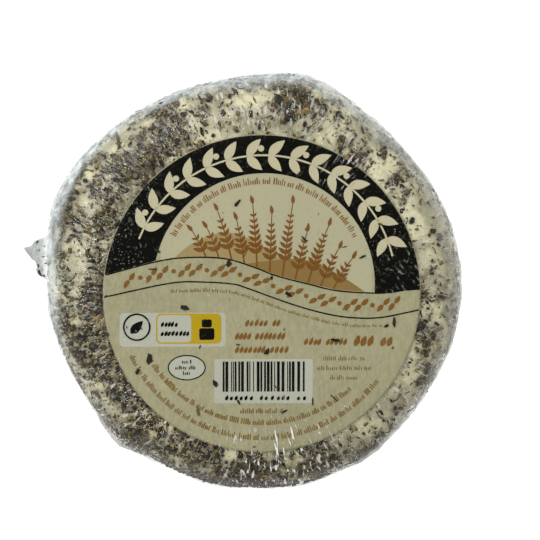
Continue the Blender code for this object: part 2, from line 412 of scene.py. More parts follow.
def noise_node(tree, vector, scale, detail=4.0, roughness=0.55, distortion=0.0):
    """A Noise Texture that reads a vector, and its value socket."""
    node = tree.nodes.new("ShaderNodeTexNoise")
    titles = ("Vector", "Scale", "Detail", "Roughness", "Distortion")
    for title, given in zip(titles, (vector, scale, detail, roughness, distortion)):
        feed(tree, given, node.inputs[title])
    return node.outputs["Fac"]


def map_range(tree, value, low, high, new_low=0.0, new_high=1.0, kind="SMOOTHSTEP"):
    """A Map Range node, smooth unless told otherwise, and clamped at both ends."""
    node = tree.nodes.new("ShaderNodeMapRange")
    node.interpolation_type = kind
    titles = ("Value", "From Min", "From Max", "To Min", "To Max")
    for title, given in zip(titles, (value, low, high, new_low, new_high)):
        feed(tree, given, node.inputs[title])
    return node.outputs["Result"]


def math_node(tree, operation, *inputs):
    """A Math node with one or two inputs, each a socket or a number."""
    node = tree.nodes.new("ShaderNodeMath")
    node.operation = operation
    for socket, given in zip(node.inputs, inputs):
        feed(tree, given, socket)
    return node.outputs["Value"]


def plus(tree, first, second):
    return math_node(tree, "ADD", first, second)


def minus(tree, first, second):
    return math_node(tree, "SUBTRACT", first, second)


def times(tree, first, second):
    return math_node(tree, "MULTIPLY", first, second)


def vector_node(tree, operation, *inputs):
    """A Vector Math node, whose inputs are sockets or triples."""
    node = tree.nodes.new("ShaderNodeVectorMath")
    node.operation = operation
    for socket, given in zip(node.inputs, inputs):
        feed(tree, given, socket)
    return node


def mix_colours(tree, share, first, second):
    """A colour mix: share 0 gives the first and 1 the second, each a socket or an RGB triple."""
    node = tree.nodes.new("ShaderNodeMix")
    node.data_type = "RGBA"
    for socket, given in zip((node.inputs["Factor"], node.inputs[6], node.inputs[7]), (share, first, second)):
        feed(tree, given, socket)
    return node.outputs[2]


def mix_shaders(tree, share, first, second):
    """A Mix Shader: share 0 gives the first and 1 the second."""
    node = tree.nodes.new("ShaderNodeMixShader")
    for socket, given in zip(node.inputs, (share, first, second)):
        feed(tree, given, socket)
    return node.outputs["Shader"]


def colour_ramp(tree, value, stops):
    """A colour ramp read by a value, from (position, colour) stops."""
    node = tree.nodes.new("ShaderNodeValToRGB")
    for _ in stops[2:]:
        node.color_ramp.elements.new(0.5)
    for element, (position, colour) in zip(node.color_ramp.elements, stops):
        element.position = position
        element.color = (*colour, 1.0)
    tree.links.new(value, node.inputs["Fac"])
    return node.outputs["Color"]


def bump_node(tree, height, strength, distance, shader):
    """A Bump node from a height socket into a shader's Normal."""
    node = tree.nodes.new("ShaderNodeBump")
    node.inputs["Strength"].default_value = strength
    node.inputs["Distance"].default_value = distance
    tree.links.new(height, node.inputs["Height"])
    tree.links.new(node.outputs["Normal"], shader.inputs["Normal"])


def object_coordinates(tree):
    return tree.nodes.new("ShaderNodeTexCoord").outputs["Object"]


def attribute_value(tree, name):
    node = tree.nodes.new("ShaderNodeAttribute")
    node.attribute_name = name
    return node.outputs["Fac"]


def new_group(name, inputs, outputs):
    """An empty node group with named number inputs and outputs, and its two end nodes."""
    group = bpy.data.node_groups.new(name, "ShaderNodeTree")
    group.interface.new_socket("Vector", in_out="INPUT", socket_type="NodeSocketVector")
    for title, value in inputs:
        socket = group.interface.new_socket(title, in_out="INPUT", socket_type="NodeSocketFloat")
        socket.default_value = value
    for title in outputs:
        group.interface.new_socket(title, in_out="OUTPUT", socket_type="NodeSocketFloat")
    return group, group.nodes.new("NodeGroupInput"), group.nodes.new("NodeGroupOutput")


def place_group(tree, group, vector, **values):
    """A copy of a node group in a material, with its own numbers."""
    node = tree.nodes.new("ShaderNodeGroup")
    node.node_tree = group
    tree.links.new(vector, node.inputs["Vector"])
    for title, value in values.items():
        node.inputs[title].default_value = value
    return node


# %% The two shared effects
def build_damp_patches():
    """Mask of wet places: broad noise, broken up at its rim by finer noise and cut to soft edges."""
    numbers = (("Scale", 90.0), ("Cover", 0.5), ("Softness", 0.12))
    group, start, end = new_group("damp_patches", numbers, ("Mask",))
    given = start.outputs
    broad = noise_node(group, given["Vector"], given["Scale"], 5.0, 0.62, 0.6)
    edge = minus(group, 1.0, given["Cover"])
    low, high = minus(group, edge, given["Softness"]), plus(group, edge, given["Softness"])
    group.links.new(map_range(group, broad, low, high), end.inputs["Mask"])
    return group


def build_fine_grain():
    """Height of a fine grain: two noises, the finer at a third of the strength."""
    group, start, end = new_group("fine_grain", (("Scale", 1500.0),), ("Height",))
    vector, scale = start.outputs["Vector"], start.outputs["Scale"]
    coarse = noise_node(group, vector, scale, 3.0)
    fine = noise_node(group, vector, times(group, scale, 4.0), 2.0)
    group.links.new(plus(group, coarse, times(group, fine, 0.33)), end.inputs["Height"])
    return group


DAMP_PATCHES = build_damp_patches()
FINE_GRAIN = build_fine_grain()

# %% [markdown]
# ### The curd's colour and painted shade
#
# The dry curd is cream and the damp places are greyer. The dents are painted darker and browner as
# shade that falls in them, made patchy by noise. Under each clump of herb the curd is painted near
# black: partly its juice stain, and partly a painted shadow of the clump, set a little away from the
# key light. The same clump noise that places the scraps is stored on the mesh and read here. A little
# light goes into real curd and comes out nearby, which Subsurface does.

# %% Curd material
CREAM = (0.69, 0.645, 0.425)
DAMP_CREAM = (0.40, 0.377, 0.255)
# Colour of the painted shade in the dents.
DENT_SHADE_BROWN = (0.150, 0.120, 0.060)
# Near-black under herb clumps: partly juice stain, partly painted shadow.
HERB_STAIN_AND_SHADOW = (0.034, 0.026, 0.011)


def curd_material():
    made, tree, shader = new_material("damp_curd")
    place = object_coordinates(tree)
    damp = place_group(tree, DAMP_PATCHES, place, Scale=120.0, Cover=0.50, Softness=0.10).outputs["Mask"]
    colour = mix_colours(tree, damp, CREAM, DAMP_CREAM)
    broken = map_range(tree, noise_node(tree, place, 520.0, 6.0, 0.72, 0.8), 0.34, 0.58)
    # Painted shadow and juice stain under the herb clumps, read from the mesh.
    stain_and_shadow_mask = times(tree, attribute_value(tree, "stain_and_shadow"), broken)
    colour = mix_colours(tree, times(tree, stain_and_shadow_mask, 0.92), colour, HERB_STAIN_AND_SHADOW)
    # Painted shade: the dents are darkened by their depth, in patches set by the next noise.
    dents = map_range(tree, attribute_value(tree, "depth"), 0.02, 0.42)
    dust = map_range(tree, noise_node(tree, place, 420.0, 5.0, 0.7), 0.46, 0.66)
    dent_shade = times(tree, dents, plus(tree, times(tree, dust, 0.6), 0.4))
    tree.links.new(mix_colours(tree, dent_shade, colour, DENT_SHADE_BROWN), shader.inputs["Base Color"])
    tree.links.new(minus(tree, 0.62, times(tree, damp, 0.3)), shader.inputs["Roughness"])
    shader.inputs["Subsurface Weight"].default_value = 0.12
    shader.inputs["Subsurface Radius"].default_value = (1.0, 0.8, 0.5)
    shader.inputs["Subsurface Scale"].default_value = 0.8 * MM
    grain = place_group(tree, FINE_GRAIN, place, Scale=1400.0).outputs["Height"]
    bump_node(tree, grain, 0.5, 0.12 * MM, shader)
    return made


curd.data.materials.append(curd_material())
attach(curd, "root")
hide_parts("cheese")

# %% [markdown]
# ## Thousands of herb scraps
#
# The coat is chopped dried herb: flat torn leaf, cut stalks, curled leaf and dust. Each kind is one
# mesh, made by working out one small shape with random proportions for every scrap at once and
# setting each on the cheese with its own heading. A particle system would be less work, but its
# scraps aren't real mesh and would be lost when the model is exported.
#
# Where they lie matters as much as what they are. The coat comes in clumps with bare curd between, and
# its weight changes with the direction. Most scraps point outwards, because the film has been pulled
# tight from the middle over the edge and has dragged them round.


# %% Where scraps lie
LOWEST_SCRAP = 0.45 * MM


def coat_thickness(points, along):
    """How likely a scrap is at each place: clumpy, fewer underneath and none under the label."""
    outside = (from_label(points) > -0.4 * MM) | (points[:, 2] < MIDDLE)
    below = 1 - 0.45 * smooth_step(along, EDGE_END - 6 * MM, EDGE_END + 4 * MM)
    weight = np.clip(0.4 + 0.6 * coat_share(points), 0, 1)
    return outside * (0.22 + 0.78 * clumps(points)) * below * weight


def scatter(count, rng):
    """(angle, along) of so many scraps, even over the area and thinned by the coat's thickness."""
    found_angle, found_along = np.empty(0), np.empty(0)
    area = np.cumsum(profile_radius * np.gradient(profile_length))
    while len(found_angle) < count:
        angle = rng.uniform(0, math.tau, 4 * count)
        along = np.interp(rng.uniform(0, area[-1], 4 * count), area, profile_length)
        keep = rng.uniform(0, 1, 4 * count) < coat_thickness(on_form(angle, along), along)
        found_angle = np.append(found_angle, angle[keep])
        found_along = np.append(found_along, along[keep])
    return found_angle[:count], found_along[:count]


def set_down(shapes, angle, along, rng, rise, tilt):
    """Moves small shapes, drawn flat about their own middles, onto the cheese, headed roughly outwards.

    A point is the place plus its three own coordinates times the scrap's three directions, which are
    the form's directions turned by the heading and leant over by the tilt.
    """
    count = len(angle)
    down, round_way, outward = frames_on_form(angle, along)
    pressed = 1 - 0.65 * smooth_step(along, EDGE_END - 9 * MM, EDGE_END - 2 * MM)
    pressed -= 0.75 * side_fill(along) / MM
    puffed = swelling(angle, PUFFS) * rng.uniform(0, 0.9, count) + 0.85 * swelling(angle, FULLNESS)
    puffed *= smooth_step(along, EDGE_START + 6 * MM, EDGE_START + 13 * MM)
    lift = rise * pressed + side_fill(along) * rng.uniform(0.9, 1.2, count)
    place = on_form(angle, along, lift, puffed)
    anyhow = rng.uniform(0, 1, count) < 0.35
    heading = np.where(anyhow, rng.uniform(0, math.pi, count), rng.normal(0, 0.6, count))[:, None]
    first = down * np.cos(heading) + round_way * np.sin(heading)
    lean = rng.normal(0, tilt, (count, 2))
    first = first + outward * lean[:, :1]
    first /= np.linalg.norm(first, axis=1, keepdims=True)
    upright = outward - first * np.sum(outward * first, axis=1, keepdims=True)
    upright = upright + np.cross(first, outward) * lean[:, 1:]
    upright /= np.linalg.norm(upright, axis=1, keepdims=True)
    second = np.cross(upright, first)
    axes = np.stack([first, second, upright], axis=1)
    laid = place[:, None] + np.einsum("nki,nij->nkj", shapes, axes)
    laid[..., 2] = np.maximum(laid[..., 2], LOWEST_SCRAP)
    return laid


def heap(name, shapes, faces, tints, smooth):
    """One mesh from many copies of a small shape, with one tint number a scrap."""
    count, corners = shapes.shape[:2]
    offsets = np.arange(count)[:, None] * corners
    every_face = [copy for face in faces for copy in (np.array(face) + offsets).tolist()]
    made = new_piece(name, shapes.reshape(-1, 3), every_face, smooth)
    set_attribute(made, "tint", np.repeat(tints, corners))
    print(name, "scraps:", count)
    return made


def coat(name, count, draw_shapes, faces, rises, tilt, smooth=True, size=1.0, darkness=1.0):
    """A heap of one kind on the cheese: rises are its lowest and highest lift in mm.

    A darkness over 1 gives more of the scraps a low tint, because the tint is raised to that power.
    """
    angle, along = scatter(count, rng)
    rise = rng.uniform(*rises, count) * MM
    shapes = set_down(draw_shapes(count, rng) * size, angle, along, rng, rise, tilt)
    return heap(name, shapes, faces, rng.uniform(0, 1, count) ** darkness, smooth)


rng = np.random.default_rng(7)


# %% [markdown]
# ### Torn leaf
#
# A scrap of leaf is a thin plate with five uneven corners, a little longer than wide, cupped
# along its length. Its faces are the same for every scrap: a top, a bottom and a strip round the rim.

# %% Leaf scraps
LEAF_CORNERS = 5
LEAF_SCRAPS = 10500


def plate_faces(corners):
    """Top, bottom and rim faces of a plate whose upper corners come first."""
    top = tuple(range(corners))
    bottom = tuple(range(2 * corners - 1, corners - 1, -1))
    rim = [(i, corners + i, corners + (i + 1) % corners, (i + 1) % corners) for i in range(corners)]
    return [top, bottom, *rim]


def leaf_plates(count, rng):
    """Five-cornered plates: corners at even turns, each pulled in by its own share, then cupped."""
    turn = np.linspace(0, math.tau, LEAF_CORNERS, endpoint=False)
    turn = turn + rng.uniform(-0.3, 0.3, (count, LEAF_CORNERS))
    reach = rng.uniform(0.62, 1.0, (count, LEAF_CORNERS))
    length = rng.lognormal(math.log(1.25), 0.46, (count, 1)).clip(0.5, 3.8) * MM
    width = length * rng.uniform(0.26, 0.66, (count, 1))
    along = reach * np.cos(turn) * length / 2
    across = reach * np.sin(turn) * width / 2
    cup = rng.uniform(-0.25, 0.45, (count, 1)) * (along / length) ** 2 * length
    thick = rng.uniform(0.09, 0.17, (count, 1)) * MM
    upper = np.stack([along, across, cup + thick / 2], axis=-1)
    lower = np.stack([along, across, cup - thick / 2], axis=-1)
    return np.concatenate([upper, lower], axis=1)


LEAF_FACES = plate_faces(LEAF_CORNERS)
leaves = coat("herb_leaf", LEAF_SCRAPS, leaf_plates, LEAF_FACES, (-0.02, 0.52), 0.16, False, darkness=1.7)

# %% [markdown]
# ### Cut stalks
#
# A stalk is a short bent rod, one to five millimetres long and browner than the leaf. More rings
# would round it better, but at this size three rings of five points already read as a stalk.

# %% Stalks
STALKS = 2300
STALK_SIDES, STALK_RINGS = 5, 3


def rod_faces(sides, rings):
    """Quads between rings of a closed rod, and a cap on each end."""
    faces = []
    for ring in range(rings - 1):
        for side in range(sides):
            beside = (side + 1) % sides
            low, high = ring * sides, (ring + 1) * sides
            faces.append((low + side, low + beside, high + beside, high + side))
    faces.append(tuple(range(sides - 1, -1, -1)))
    faces.append(tuple((rings - 1) * sides + side for side in range(sides)))
    return faces


def stalk_rods(count, rng):
    """Bent rods: rings of five points along a shallow arc, thinner towards one end."""
    length = rng.lognormal(math.log(1.7), 0.40, (count, 1, 1)).clip(0.8, 4.8) * MM
    stout = rng.uniform(0, 1, (count, 1, 1)) < 0.06
    radius = rng.uniform(0.08, 0.20, (count, 1, 1)) * np.where(stout, 2.2, 1.0) * MM
    share = np.linspace(-0.5, 0.5, STALK_RINGS)[None, :, None]
    turn = np.linspace(0, math.tau, STALK_SIDES, endpoint=False)[None, None, :]
    taper = 1 - 0.35 * (share + 0.5) * rng.uniform(0, 1, (count, 1, 1))
    bend = rng.uniform(-0.5, 0.5, (count, 1, 1)) * length * share**2
    shape = (count, STALK_RINGS, STALK_SIDES)
    along = np.broadcast_to(share * length, shape)
    across = bend + radius * taper * np.cos(turn)
    up = radius * taper * 0.7 * np.sin(turn) + np.zeros(shape)
    return np.stack([along, across, up], axis=-1).reshape(count, -1, 3)


STALK_FACES = rod_faces(STALK_SIDES, STALK_RINGS)
stalks = coat("herb_stalk", STALKS, stalk_rods, STALK_FACES, (0.10, 0.56), 0.06)

# %% [markdown]
# ### Curled leaf
#
# Dried leaf rolls up as it dries, and from above a rolled scrap shows as a small dark letter C with a
# pale inside. Each is a strip bent round part of a circle, with a thin wall.

# %% Curls
CURLS = 1400
CURL_STEPS = 7


def curl_faces(steps):
    """Faces of a bent strip with four points to each step: outer pair, then inner pair."""
    faces = [(0, 1, 3, 2)]
    for step in range(steps - 1):
        here, there = 4 * step, 4 * step + 4
        faces.append((here, there, there + 1, here + 1))
        faces.append((here + 1, there + 1, there + 3, here + 3))
        faces.append((here + 3, there + 3, there + 2, here + 2))
        faces.append((here + 2, there + 2, there, here))
    last = 4 * (steps - 1)
    faces.append((last, last + 2, last + 3, last + 1))
    return faces


def rolled_strips(count, rng):
    """Strips bent round an arc: a radius times the turn's cosine and sine, for an outer and inner wall."""
    radius = rng.uniform(0.26, 0.62, (count, 1)) * MM
    opening = rng.uniform(1.2, 2.6, (count, 1))
    turn = np.linspace(-1, 1, CURL_STEPS)[None] * (math.pi - opening / 2)
    width = rng.uniform(0.45, 1.3, (count, 1)) * MM
    wall = 0.13 * MM
    rings = []
    for reach, edge in ((radius, 0.5), (radius, -0.5), (radius - wall, 0.5), (radius - wall, -0.5)):
        along = reach * np.cos(turn)
        up = reach * 0.62 * np.sin(turn)
        rings.append(np.stack([along, np.broadcast_to(edge * width, along.shape), up], axis=-1))
    return np.stack(rings, axis=2).reshape(count, -1, 3)


curls = coat("herb_curl", CURLS, rolled_strips, curl_faces(CURL_STEPS), (0.0, 0.28), 0.12)

# %% [markdown]
# ### Herb dust
#
# Between the scraps lies crushed herb, a few tenths of a millimetre across. An eight-sided grain is
# enough for each, and twelve thousand of them fill the gaps the larger scraps leave.

# %% Dust
GRAINS = 12000
GRAIN_FACES = [(0, 2, 4), (2, 1, 4), (1, 3, 4), (3, 0, 4), (2, 0, 5), (1, 2, 5), (3, 1, 5), (0, 3, 5)]


def grain_shapes(count, rng):
    """Stretched octahedra: two points out along each of three axes of random length."""
    axes = rng.uniform(0.10, 0.34, (count, 3)) * np.array([1.0, 0.7, 0.55]) * MM
    directions = np.array([[1, 0, 0], [-1, 0, 0], [0, 1, 0], [0, -1, 0], [0, 0, 1], [0, 0, -1]])
    return directions[None] * axes[:, None]


grains = coat("herb_dust", GRAINS, grain_shapes, GRAIN_FACES, (0.0, 0.3), 0.5, False)

# %% [markdown]
# ### Crumbs of curd
#
# Rolling and wrapping also rubs small crumbs off the curd, and they end up on top of the herbs. They
# matter for the look: they break the dark clumps up into fine light and dark. They are the same torn
# plates and grains as before, in curd's own colours.

# %% Curd crumbs
CRUMB_PLATES = 700
CRUMB_GRAINS = 2200
curd_flakes = coat("curd_flakes", CRUMB_PLATES, leaf_plates, LEAF_FACES, (0.15, 0.62), 0.2, size=0.8)
curd_grains = coat("curd_grains", CRUMB_GRAINS, grain_shapes, GRAIN_FACES, (0.1, 0.55), 0.5, size=1.15)

# %% [markdown]
# ### Herb colours
#
# Damp dried herb is nearly black, with some olive and a few straw-coloured scraps. The tint number
# stored on each scrap picks its colour along a ramp, and a little noise mottles it.


# %% Herb materials
def herb_material(name, stops, roughness):
    """A ramp of colours read by each scrap's tint, mottled by noise."""
    made, tree, shader = new_material(name)
    place = object_coordinates(tree)
    mottle = times(tree, minus(tree, noise_node(tree, place, 900.0), 0.5), 0.5)
    colour = colour_ramp(tree, plus(tree, attribute_value(tree, "tint"), mottle), stops)
    tree.links.new(colour, shader.inputs["Base Color"])
    shader.inputs["Roughness"].default_value = roughness
    shader.inputs["Specular IOR Level"].default_value = 0.25
    grain = place_group(tree, FINE_GRAIN, place, Scale=2600.0).outputs["Height"]
    bump_node(tree, grain, 0.4, 0.06 * MM, shader)
    return made


LEAF_STOPS = (
    (0.0, (0.006, 0.005, 0.003)),
    (0.35, (0.018, 0.013, 0.005)),
    (0.62, (0.050, 0.036, 0.010)),
    (0.82, (0.120, 0.080, 0.020)),
    (1.0, (0.30, 0.19, 0.050)),
)
STALK_STOPS = (
    (0.0, (0.022, 0.015, 0.006)),
    (0.45, (0.080, 0.052, 0.016)),
    (0.8, (0.19, 0.120, 0.036)),
    (1.0, (0.38, 0.27, 0.11)),
)
CURL_STOPS = (
    (0.0, (0.009, 0.008, 0.004)),
    (0.5, (0.042, 0.032, 0.012)),
    (0.8, (0.13, 0.095, 0.033)),
    (1.0, (0.30, 0.23, 0.10)),
)
CRUMB_STOPS = (
    (0.0, (0.24, 0.22, 0.14)),
    (0.4, (0.43, 0.40, 0.265)),
    (1.0, (0.67, 0.63, 0.44)),
)
leaf_green = herb_material("dried_leaf", LEAF_STOPS, 0.5)
stalk_brown = herb_material("cut_stalk", STALK_STOPS, 0.6)
crumb_cream = herb_material("crumb_curd", CRUMB_STOPS, 0.45)
for piece, look in (
    (leaves, leaf_green),
    (grains, leaf_green),
    (stalks, stalk_brown),
    (curd_flakes, crumb_cream),
    (curd_grains, crumb_cream),
    (curls, herb_material("rolled_leaf", CURL_STOPS, 0.5)),
):
    piece.data.materials.append(look)
    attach(piece, "root")

# %% [markdown]
# ## The paper label
#
# The label is a disc of paper that lies on the damp cheese, so it isn't quite flat: it follows the
# form's dips and cockles a little where it has soaked. One function gives the height of its face
# over any place, and both the paper and everything printed on it use that function, so that the ink
# always lies on the paper.

# %% Shape of the label
LABEL_GAP = 0.30 * MM
PAPER = 0.25 * MM
PAPER_RINGS, PAPER_COLUMNS = 58, 240


def label_height(x, y, lift):
    """Height over a place on the label: the form's top, lifted, plus the paper's own cockling.

    The form's radius is first freed of its swelling, as the solid label's is.
    """
    radius = np.hypot(x, y)
    freed = radius - swelling(np.arctan2(y, x)) * (radius / CHEESE_RADIUS) ** 3
    out = np.clip((freed - FLAT_RADIUS) / (EDGE_DEPTH + lift), 0, 1)
    height = MIDDLE + (HALF_HEIGHT + lift) * (1 - out**EDGE_POWER) ** (1 / EDGE_POWER)
    flat = np.stack([x, y, np.zeros_like(x)], axis=-1)
    cockle = 0.035 * MM * lumps(flat, 9 * MM, 21) + 0.014 * MM * lumps(flat, 3.5 * MM, 22)
    return height + dip(x, y) * above_middle(height) + cockle


def on_label(flat, lift=0.0):
    """Points on the label's printed face from places measured from its middle."""
    x, y = flat[..., 0] + LABEL_CENTRE[0], flat[..., 1] + LABEL_CENTRE[1]
    return np.stack([x, y, label_height(x, y, LABEL_GAP + PAPER) + lift], axis=-1)


paper_radius = np.linspace(0, LABEL_RADIUS, PAPER_RINGS + 1)[1:, None]
paper_angle = np.linspace(0, math.tau, PAPER_COLUMNS, endpoint=False)[None]
paper_flat = np.stack([paper_radius * np.cos(paper_angle), paper_radius * np.sin(paper_angle)], axis=-1)
paper_points = np.concatenate([on_label(paper_flat).reshape(-1, 3), on_label(np.zeros((1, 2)))])
paper = new_piece("label_paper", paper_points, round_faces(PAPER_RINGS, PAPER_COLUMNS, False))


def give_thickness(piece, thickness):
    """A Solidify modifier that adds the wall below the face."""
    wall = piece.modifiers.new("thickness", "SOLIDIFY")
    wall.thickness = thickness
    wall.offset = -1


give_thickness(paper, 0.2 * MM)
print("label faces:", len(paper.data.polygons))

# %% [markdown]
# The paper is cream and uncoated, with a faint upright grain. Moisture from the cheese has gone into
# it in soft cloudy patches.

# %% Paper material
PAPER_CREAM = (0.400, 0.377, 0.232)
PAPER_DAMP = (0.290, 0.272, 0.163)


def paper_material():
    made, tree, shader = new_material("cream_paper")
    place = object_coordinates(tree)
    damp = place_group(tree, DAMP_PATCHES, place, Scale=38.0, Cover=0.42, Softness=0.22).outputs["Mask"]
    stretched = vector_node(tree, "MULTIPLY", place, (2.4, 1.0, 1.0)).outputs["Vector"]
    fibre = map_range(tree, noise_node(tree, stretched, 480.0, 6.0, 0.75), 0.35, 0.65, 0.0, 0.65)
    soaked = plus(tree, times(tree, damp, 0.5), fibre)
    tree.links.new(mix_colours(tree, soaked, PAPER_CREAM, PAPER_DAMP), shader.inputs["Base Color"])
    shader.inputs["Roughness"].default_value = 0.6
    shader.inputs["Specular IOR Level"].default_value = 0.2
    grain = place_group(tree, FINE_GRAIN, place, Scale=1800.0).outputs["Height"]
    bump_node(tree, grain, 0.25, 0.05 * MM, shader)
    return made


paper.data.materials.append(paper_material())
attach(paper, "root")
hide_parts("label")

# %% [markdown]
# ## Print
#
# Ink is far too thin to see from the side, so it could be painted by the paper's material. But a
# shape with a crisp edge, such as a leaf on a band, is awkward to write as nodes, and easy to write
# as a strip along a path. So each colour of ink is a mesh of strips laid a few hundredths of a
# millimetre over the paper, each colour a little higher than the one it overprints. A strip is a
# path and a width at each of its points, and that one idea makes lines, leaves, discs, bars and
# boxes.
#
# All places on the label are in millimetres from its middle.


# %% Strips of ink
def strip(path, width, across=2):
    """A flat strip: each point of the path, and half the width to each side, square to the path."""
    path = np.asarray(path, dtype=float)
    ahead = np.gradient(path, axis=0)
    ahead /= np.linalg.norm(ahead, axis=1, keepdims=True)
    left = np.column_stack([-ahead[:, 1], ahead[:, 0]])
    share = np.linspace(-0.5, 0.5, across + 1)[None, :, None]
    reach = np.broadcast_to(width, len(path))[:, None, None] * share
    return path[:, None] + left[:, None] * reach


def arc(centre, radius, start, end, spacing=1.0):
    """Points round part of a circle, from and to a direction in degrees."""
    count = max(3, int(abs(math.radians(end - start)) * radius / spacing) + 2)
    turn = np.radians(np.linspace(start, end, count))
    return np.column_stack([centre[0] + radius * np.cos(turn), centre[1] + radius * np.sin(turn)])


def straight(start, end, spacing=1.0):
    """Evenly spaced points from one place to another."""
    count = max(3, int(math.dist(start, end) / spacing) + 2)
    return np.linspace(start, end, count)


def oval(centre, across, high, rows=14):
    """A filled oval: a strip along its width whose width is the oval's height there."""
    turn = np.linspace(math.pi, 0, rows)
    path = np.column_stack([centre[0] + across * np.cos(turn), np.full(rows, centre[1])])
    return strip(path, np.maximum(2 * high * np.sin(turn), 0.01))


def ring(centre, across, high, line):
    """A line round an oval."""
    turn = np.linspace(0, math.tau, 49)
    path = np.column_stack([centre[0] + across * np.cos(turn), centre[1] + high * np.sin(turn)])
    return strip(path, line, 1)


def rounded_box(left, low, right, high, corner):
    """A filled box: a strip from left to right, narrowed by a quarter circle at each end."""
    quarter = np.linspace(0, math.pi / 2, 6)
    ends = corner * (1 - np.cos(quarter))
    middle = np.linspace(left + corner, right - corner, max(3, int(right - left)))[1:-1]
    x = np.concatenate([left + ends, middle, right - ends[::-1]])
    narrowing = corner * (1 - np.sin(quarter))
    narrowed = np.concatenate([narrowing, np.zeros(len(middle)), narrowing[::-1]])
    path = np.column_stack([x, np.full(len(x), (low + high) / 2)])
    return strip(path, np.maximum(high - low - 2 * narrowed, 0.01), max(2, int(high - low)))


def directions(degrees):
    """The direction so many degrees round from +X, and the one to its left."""
    turn = math.radians(degrees)
    return np.array([math.cos(turn), math.sin(turn)]), np.array([-math.sin(turn), math.cos(turn)])


def leaf_shape(base, degrees, length, width, bend=0.15):
    """A filled leaf: a bent midrib whose width swells early and comes to a point."""
    share = np.linspace(0, 1, 11)
    ahead, left = directions(degrees)
    path = np.array(base) + length * (share[:, None] * ahead + bend * (share**2)[:, None] * left)
    return strip(path, np.maximum(width * np.sin(math.pi * share**0.8) ** 0.9, 0.01))


def print_in(name, shapes, look, lift):
    """One mesh from a list of strips, laid on the label, with its ink on."""
    points, faces, start = [], [], 0
    for shape in shapes:
        rows, columns = shape.shape[:2]
        points.append(on_label(shape.reshape(-1, 2) * MM, lift))
        corner = np.arange(rows - 1)[:, None] * columns + np.arange(columns - 1) + start
        quads = np.stack([corner, corner + columns, corner + columns + 1, corner + 1], axis=-1)
        faces += quads.reshape(-1, 4).tolist()
        start += rows * columns
    made = new_piece(name, np.concatenate(points), faces, False)
    give_thickness(made, 0.015 * MM)
    made.data.materials.append(look)
    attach(made, "root")
    print(name, "strips:", len(shapes))


# %% [markdown]
# ### Inks
#
# Every ink is the same matt print with its own colour: thin places let the paper through as fine
# specks, and damp dulls it in the same cloudy patches as the paper.


# %% Ink materials
def ink(name, colour, worn):
    """A flat colour that wears to a paler one in specks."""
    made, tree, shader = new_material(name)
    place = object_coordinates(tree)
    specks = map_range(tree, noise_node(tree, place, 1300.0, 4.0, 0.65), 0.60, 0.76, 0.0, 0.7)
    clouds = place_group(tree, DAMP_PATCHES, place, Scale=60.0, Cover=0.45, Softness=0.25).outputs["Mask"]
    faded = plus(tree, specks, times(tree, clouds, 0.22))
    tree.links.new(mix_colours(tree, faded, colour, worn), shader.inputs["Base Color"])
    shader.inputs["Roughness"].default_value = 0.6
    shader.inputs["Specular IOR Level"].default_value = 0.04
    return made


BLACK_INK = ink("black_ink", (0.003, 0.003, 0.0022), (0.007, 0.007, 0.005))
BROWN_INK = ink("brown_ink", (0.190, 0.088, 0.018), (0.30, 0.20, 0.08))
SEPIA_INK = ink("sepia_ink", (0.175, 0.072, 0.014), (0.28, 0.175, 0.065))
OLIVE_INK = ink("olive_ink", (0.185, 0.115, 0.030), (0.30, 0.235, 0.105))
TAN_INK = ink("tan_ink", (0.245, 0.152, 0.050), (0.31, 0.215, 0.090))
PALE_TAN_INK = ink("pale_tan_ink", (0.33, 0.250, 0.110), (0.36, 0.295, 0.15))
YELLOW_INK = ink("yellow_ink", (0.44, 0.305, 0.006), (0.46, 0.37, 0.08))
SKY_INK = ink("sky_ink", (0.435, 0.412, 0.272), (0.365, 0.344, 0.223))
WHITE_INK = ink("white_ink", (0.45, 0.455, 0.38), (0.40, 0.395, 0.31))
CREAM_INK = ink("cream_ink", (0.53, 0.49, 0.33), (0.44, 0.40, 0.26))

# %% [markdown]
# ### The dark band
#
# The label's upper half is ringed by a broad black crescent. Its outer edge is the label's rim and
# its inner edge a smaller circle set a little higher, so it can't be a strip of even width. Instead
# each place is a blend between a point of the outer arc and the matching point of the inner arc.

# %% Band
BAND_CENTRE = (0.5, 2.3)
BAND_INNER = 26.5
BAND_OUTER = LABEL_RADIUS / MM - 0.15
band_inner = arc(BAND_CENTRE, BAND_INNER, 167.6, -4.7, 0.8)
band_outer = arc((0, 0), BAND_OUTER, 172.8, 1.3, 0.8)
wanted, given = np.linspace(0, 1, len(band_inner)), np.linspace(0, 1, len(band_outer))
band_outer = np.column_stack([np.interp(wanted, given, band_outer[:, i]) for i in (0, 1)])
share_out = np.linspace(0, 1, 13)[None, :, None]
band = band_inner[:, None] * (1 - share_out) + band_outer[:, None] * share_out


def wave(places, line, across=1):
    """A smooth strip through a few places, by a cubic through each neighbouring four."""
    places = np.asarray(places, dtype=float)
    ends = np.vstack([2 * places[0] - places[1], places, 2 * places[-1] - places[-2]])
    share = np.linspace(0, 1, 9)[:-1, None]
    pieces = []
    for before, start, end, after in zip(ends, ends[1:], ends[2:], ends[3:]):
        pull, push = (end - before) / 2, (after - start) / 2
        pieces.append(
            (2 * share**3 - 3 * share**2 + 1) * start
            + (share**3 - 2 * share**2 + share) * pull
            + (3 * share**2 - 2 * share**3) * end
            + (share**3 - share**2) * push
        )
    return strip(np.vstack([*pieces, places[-1:]]), line, across)


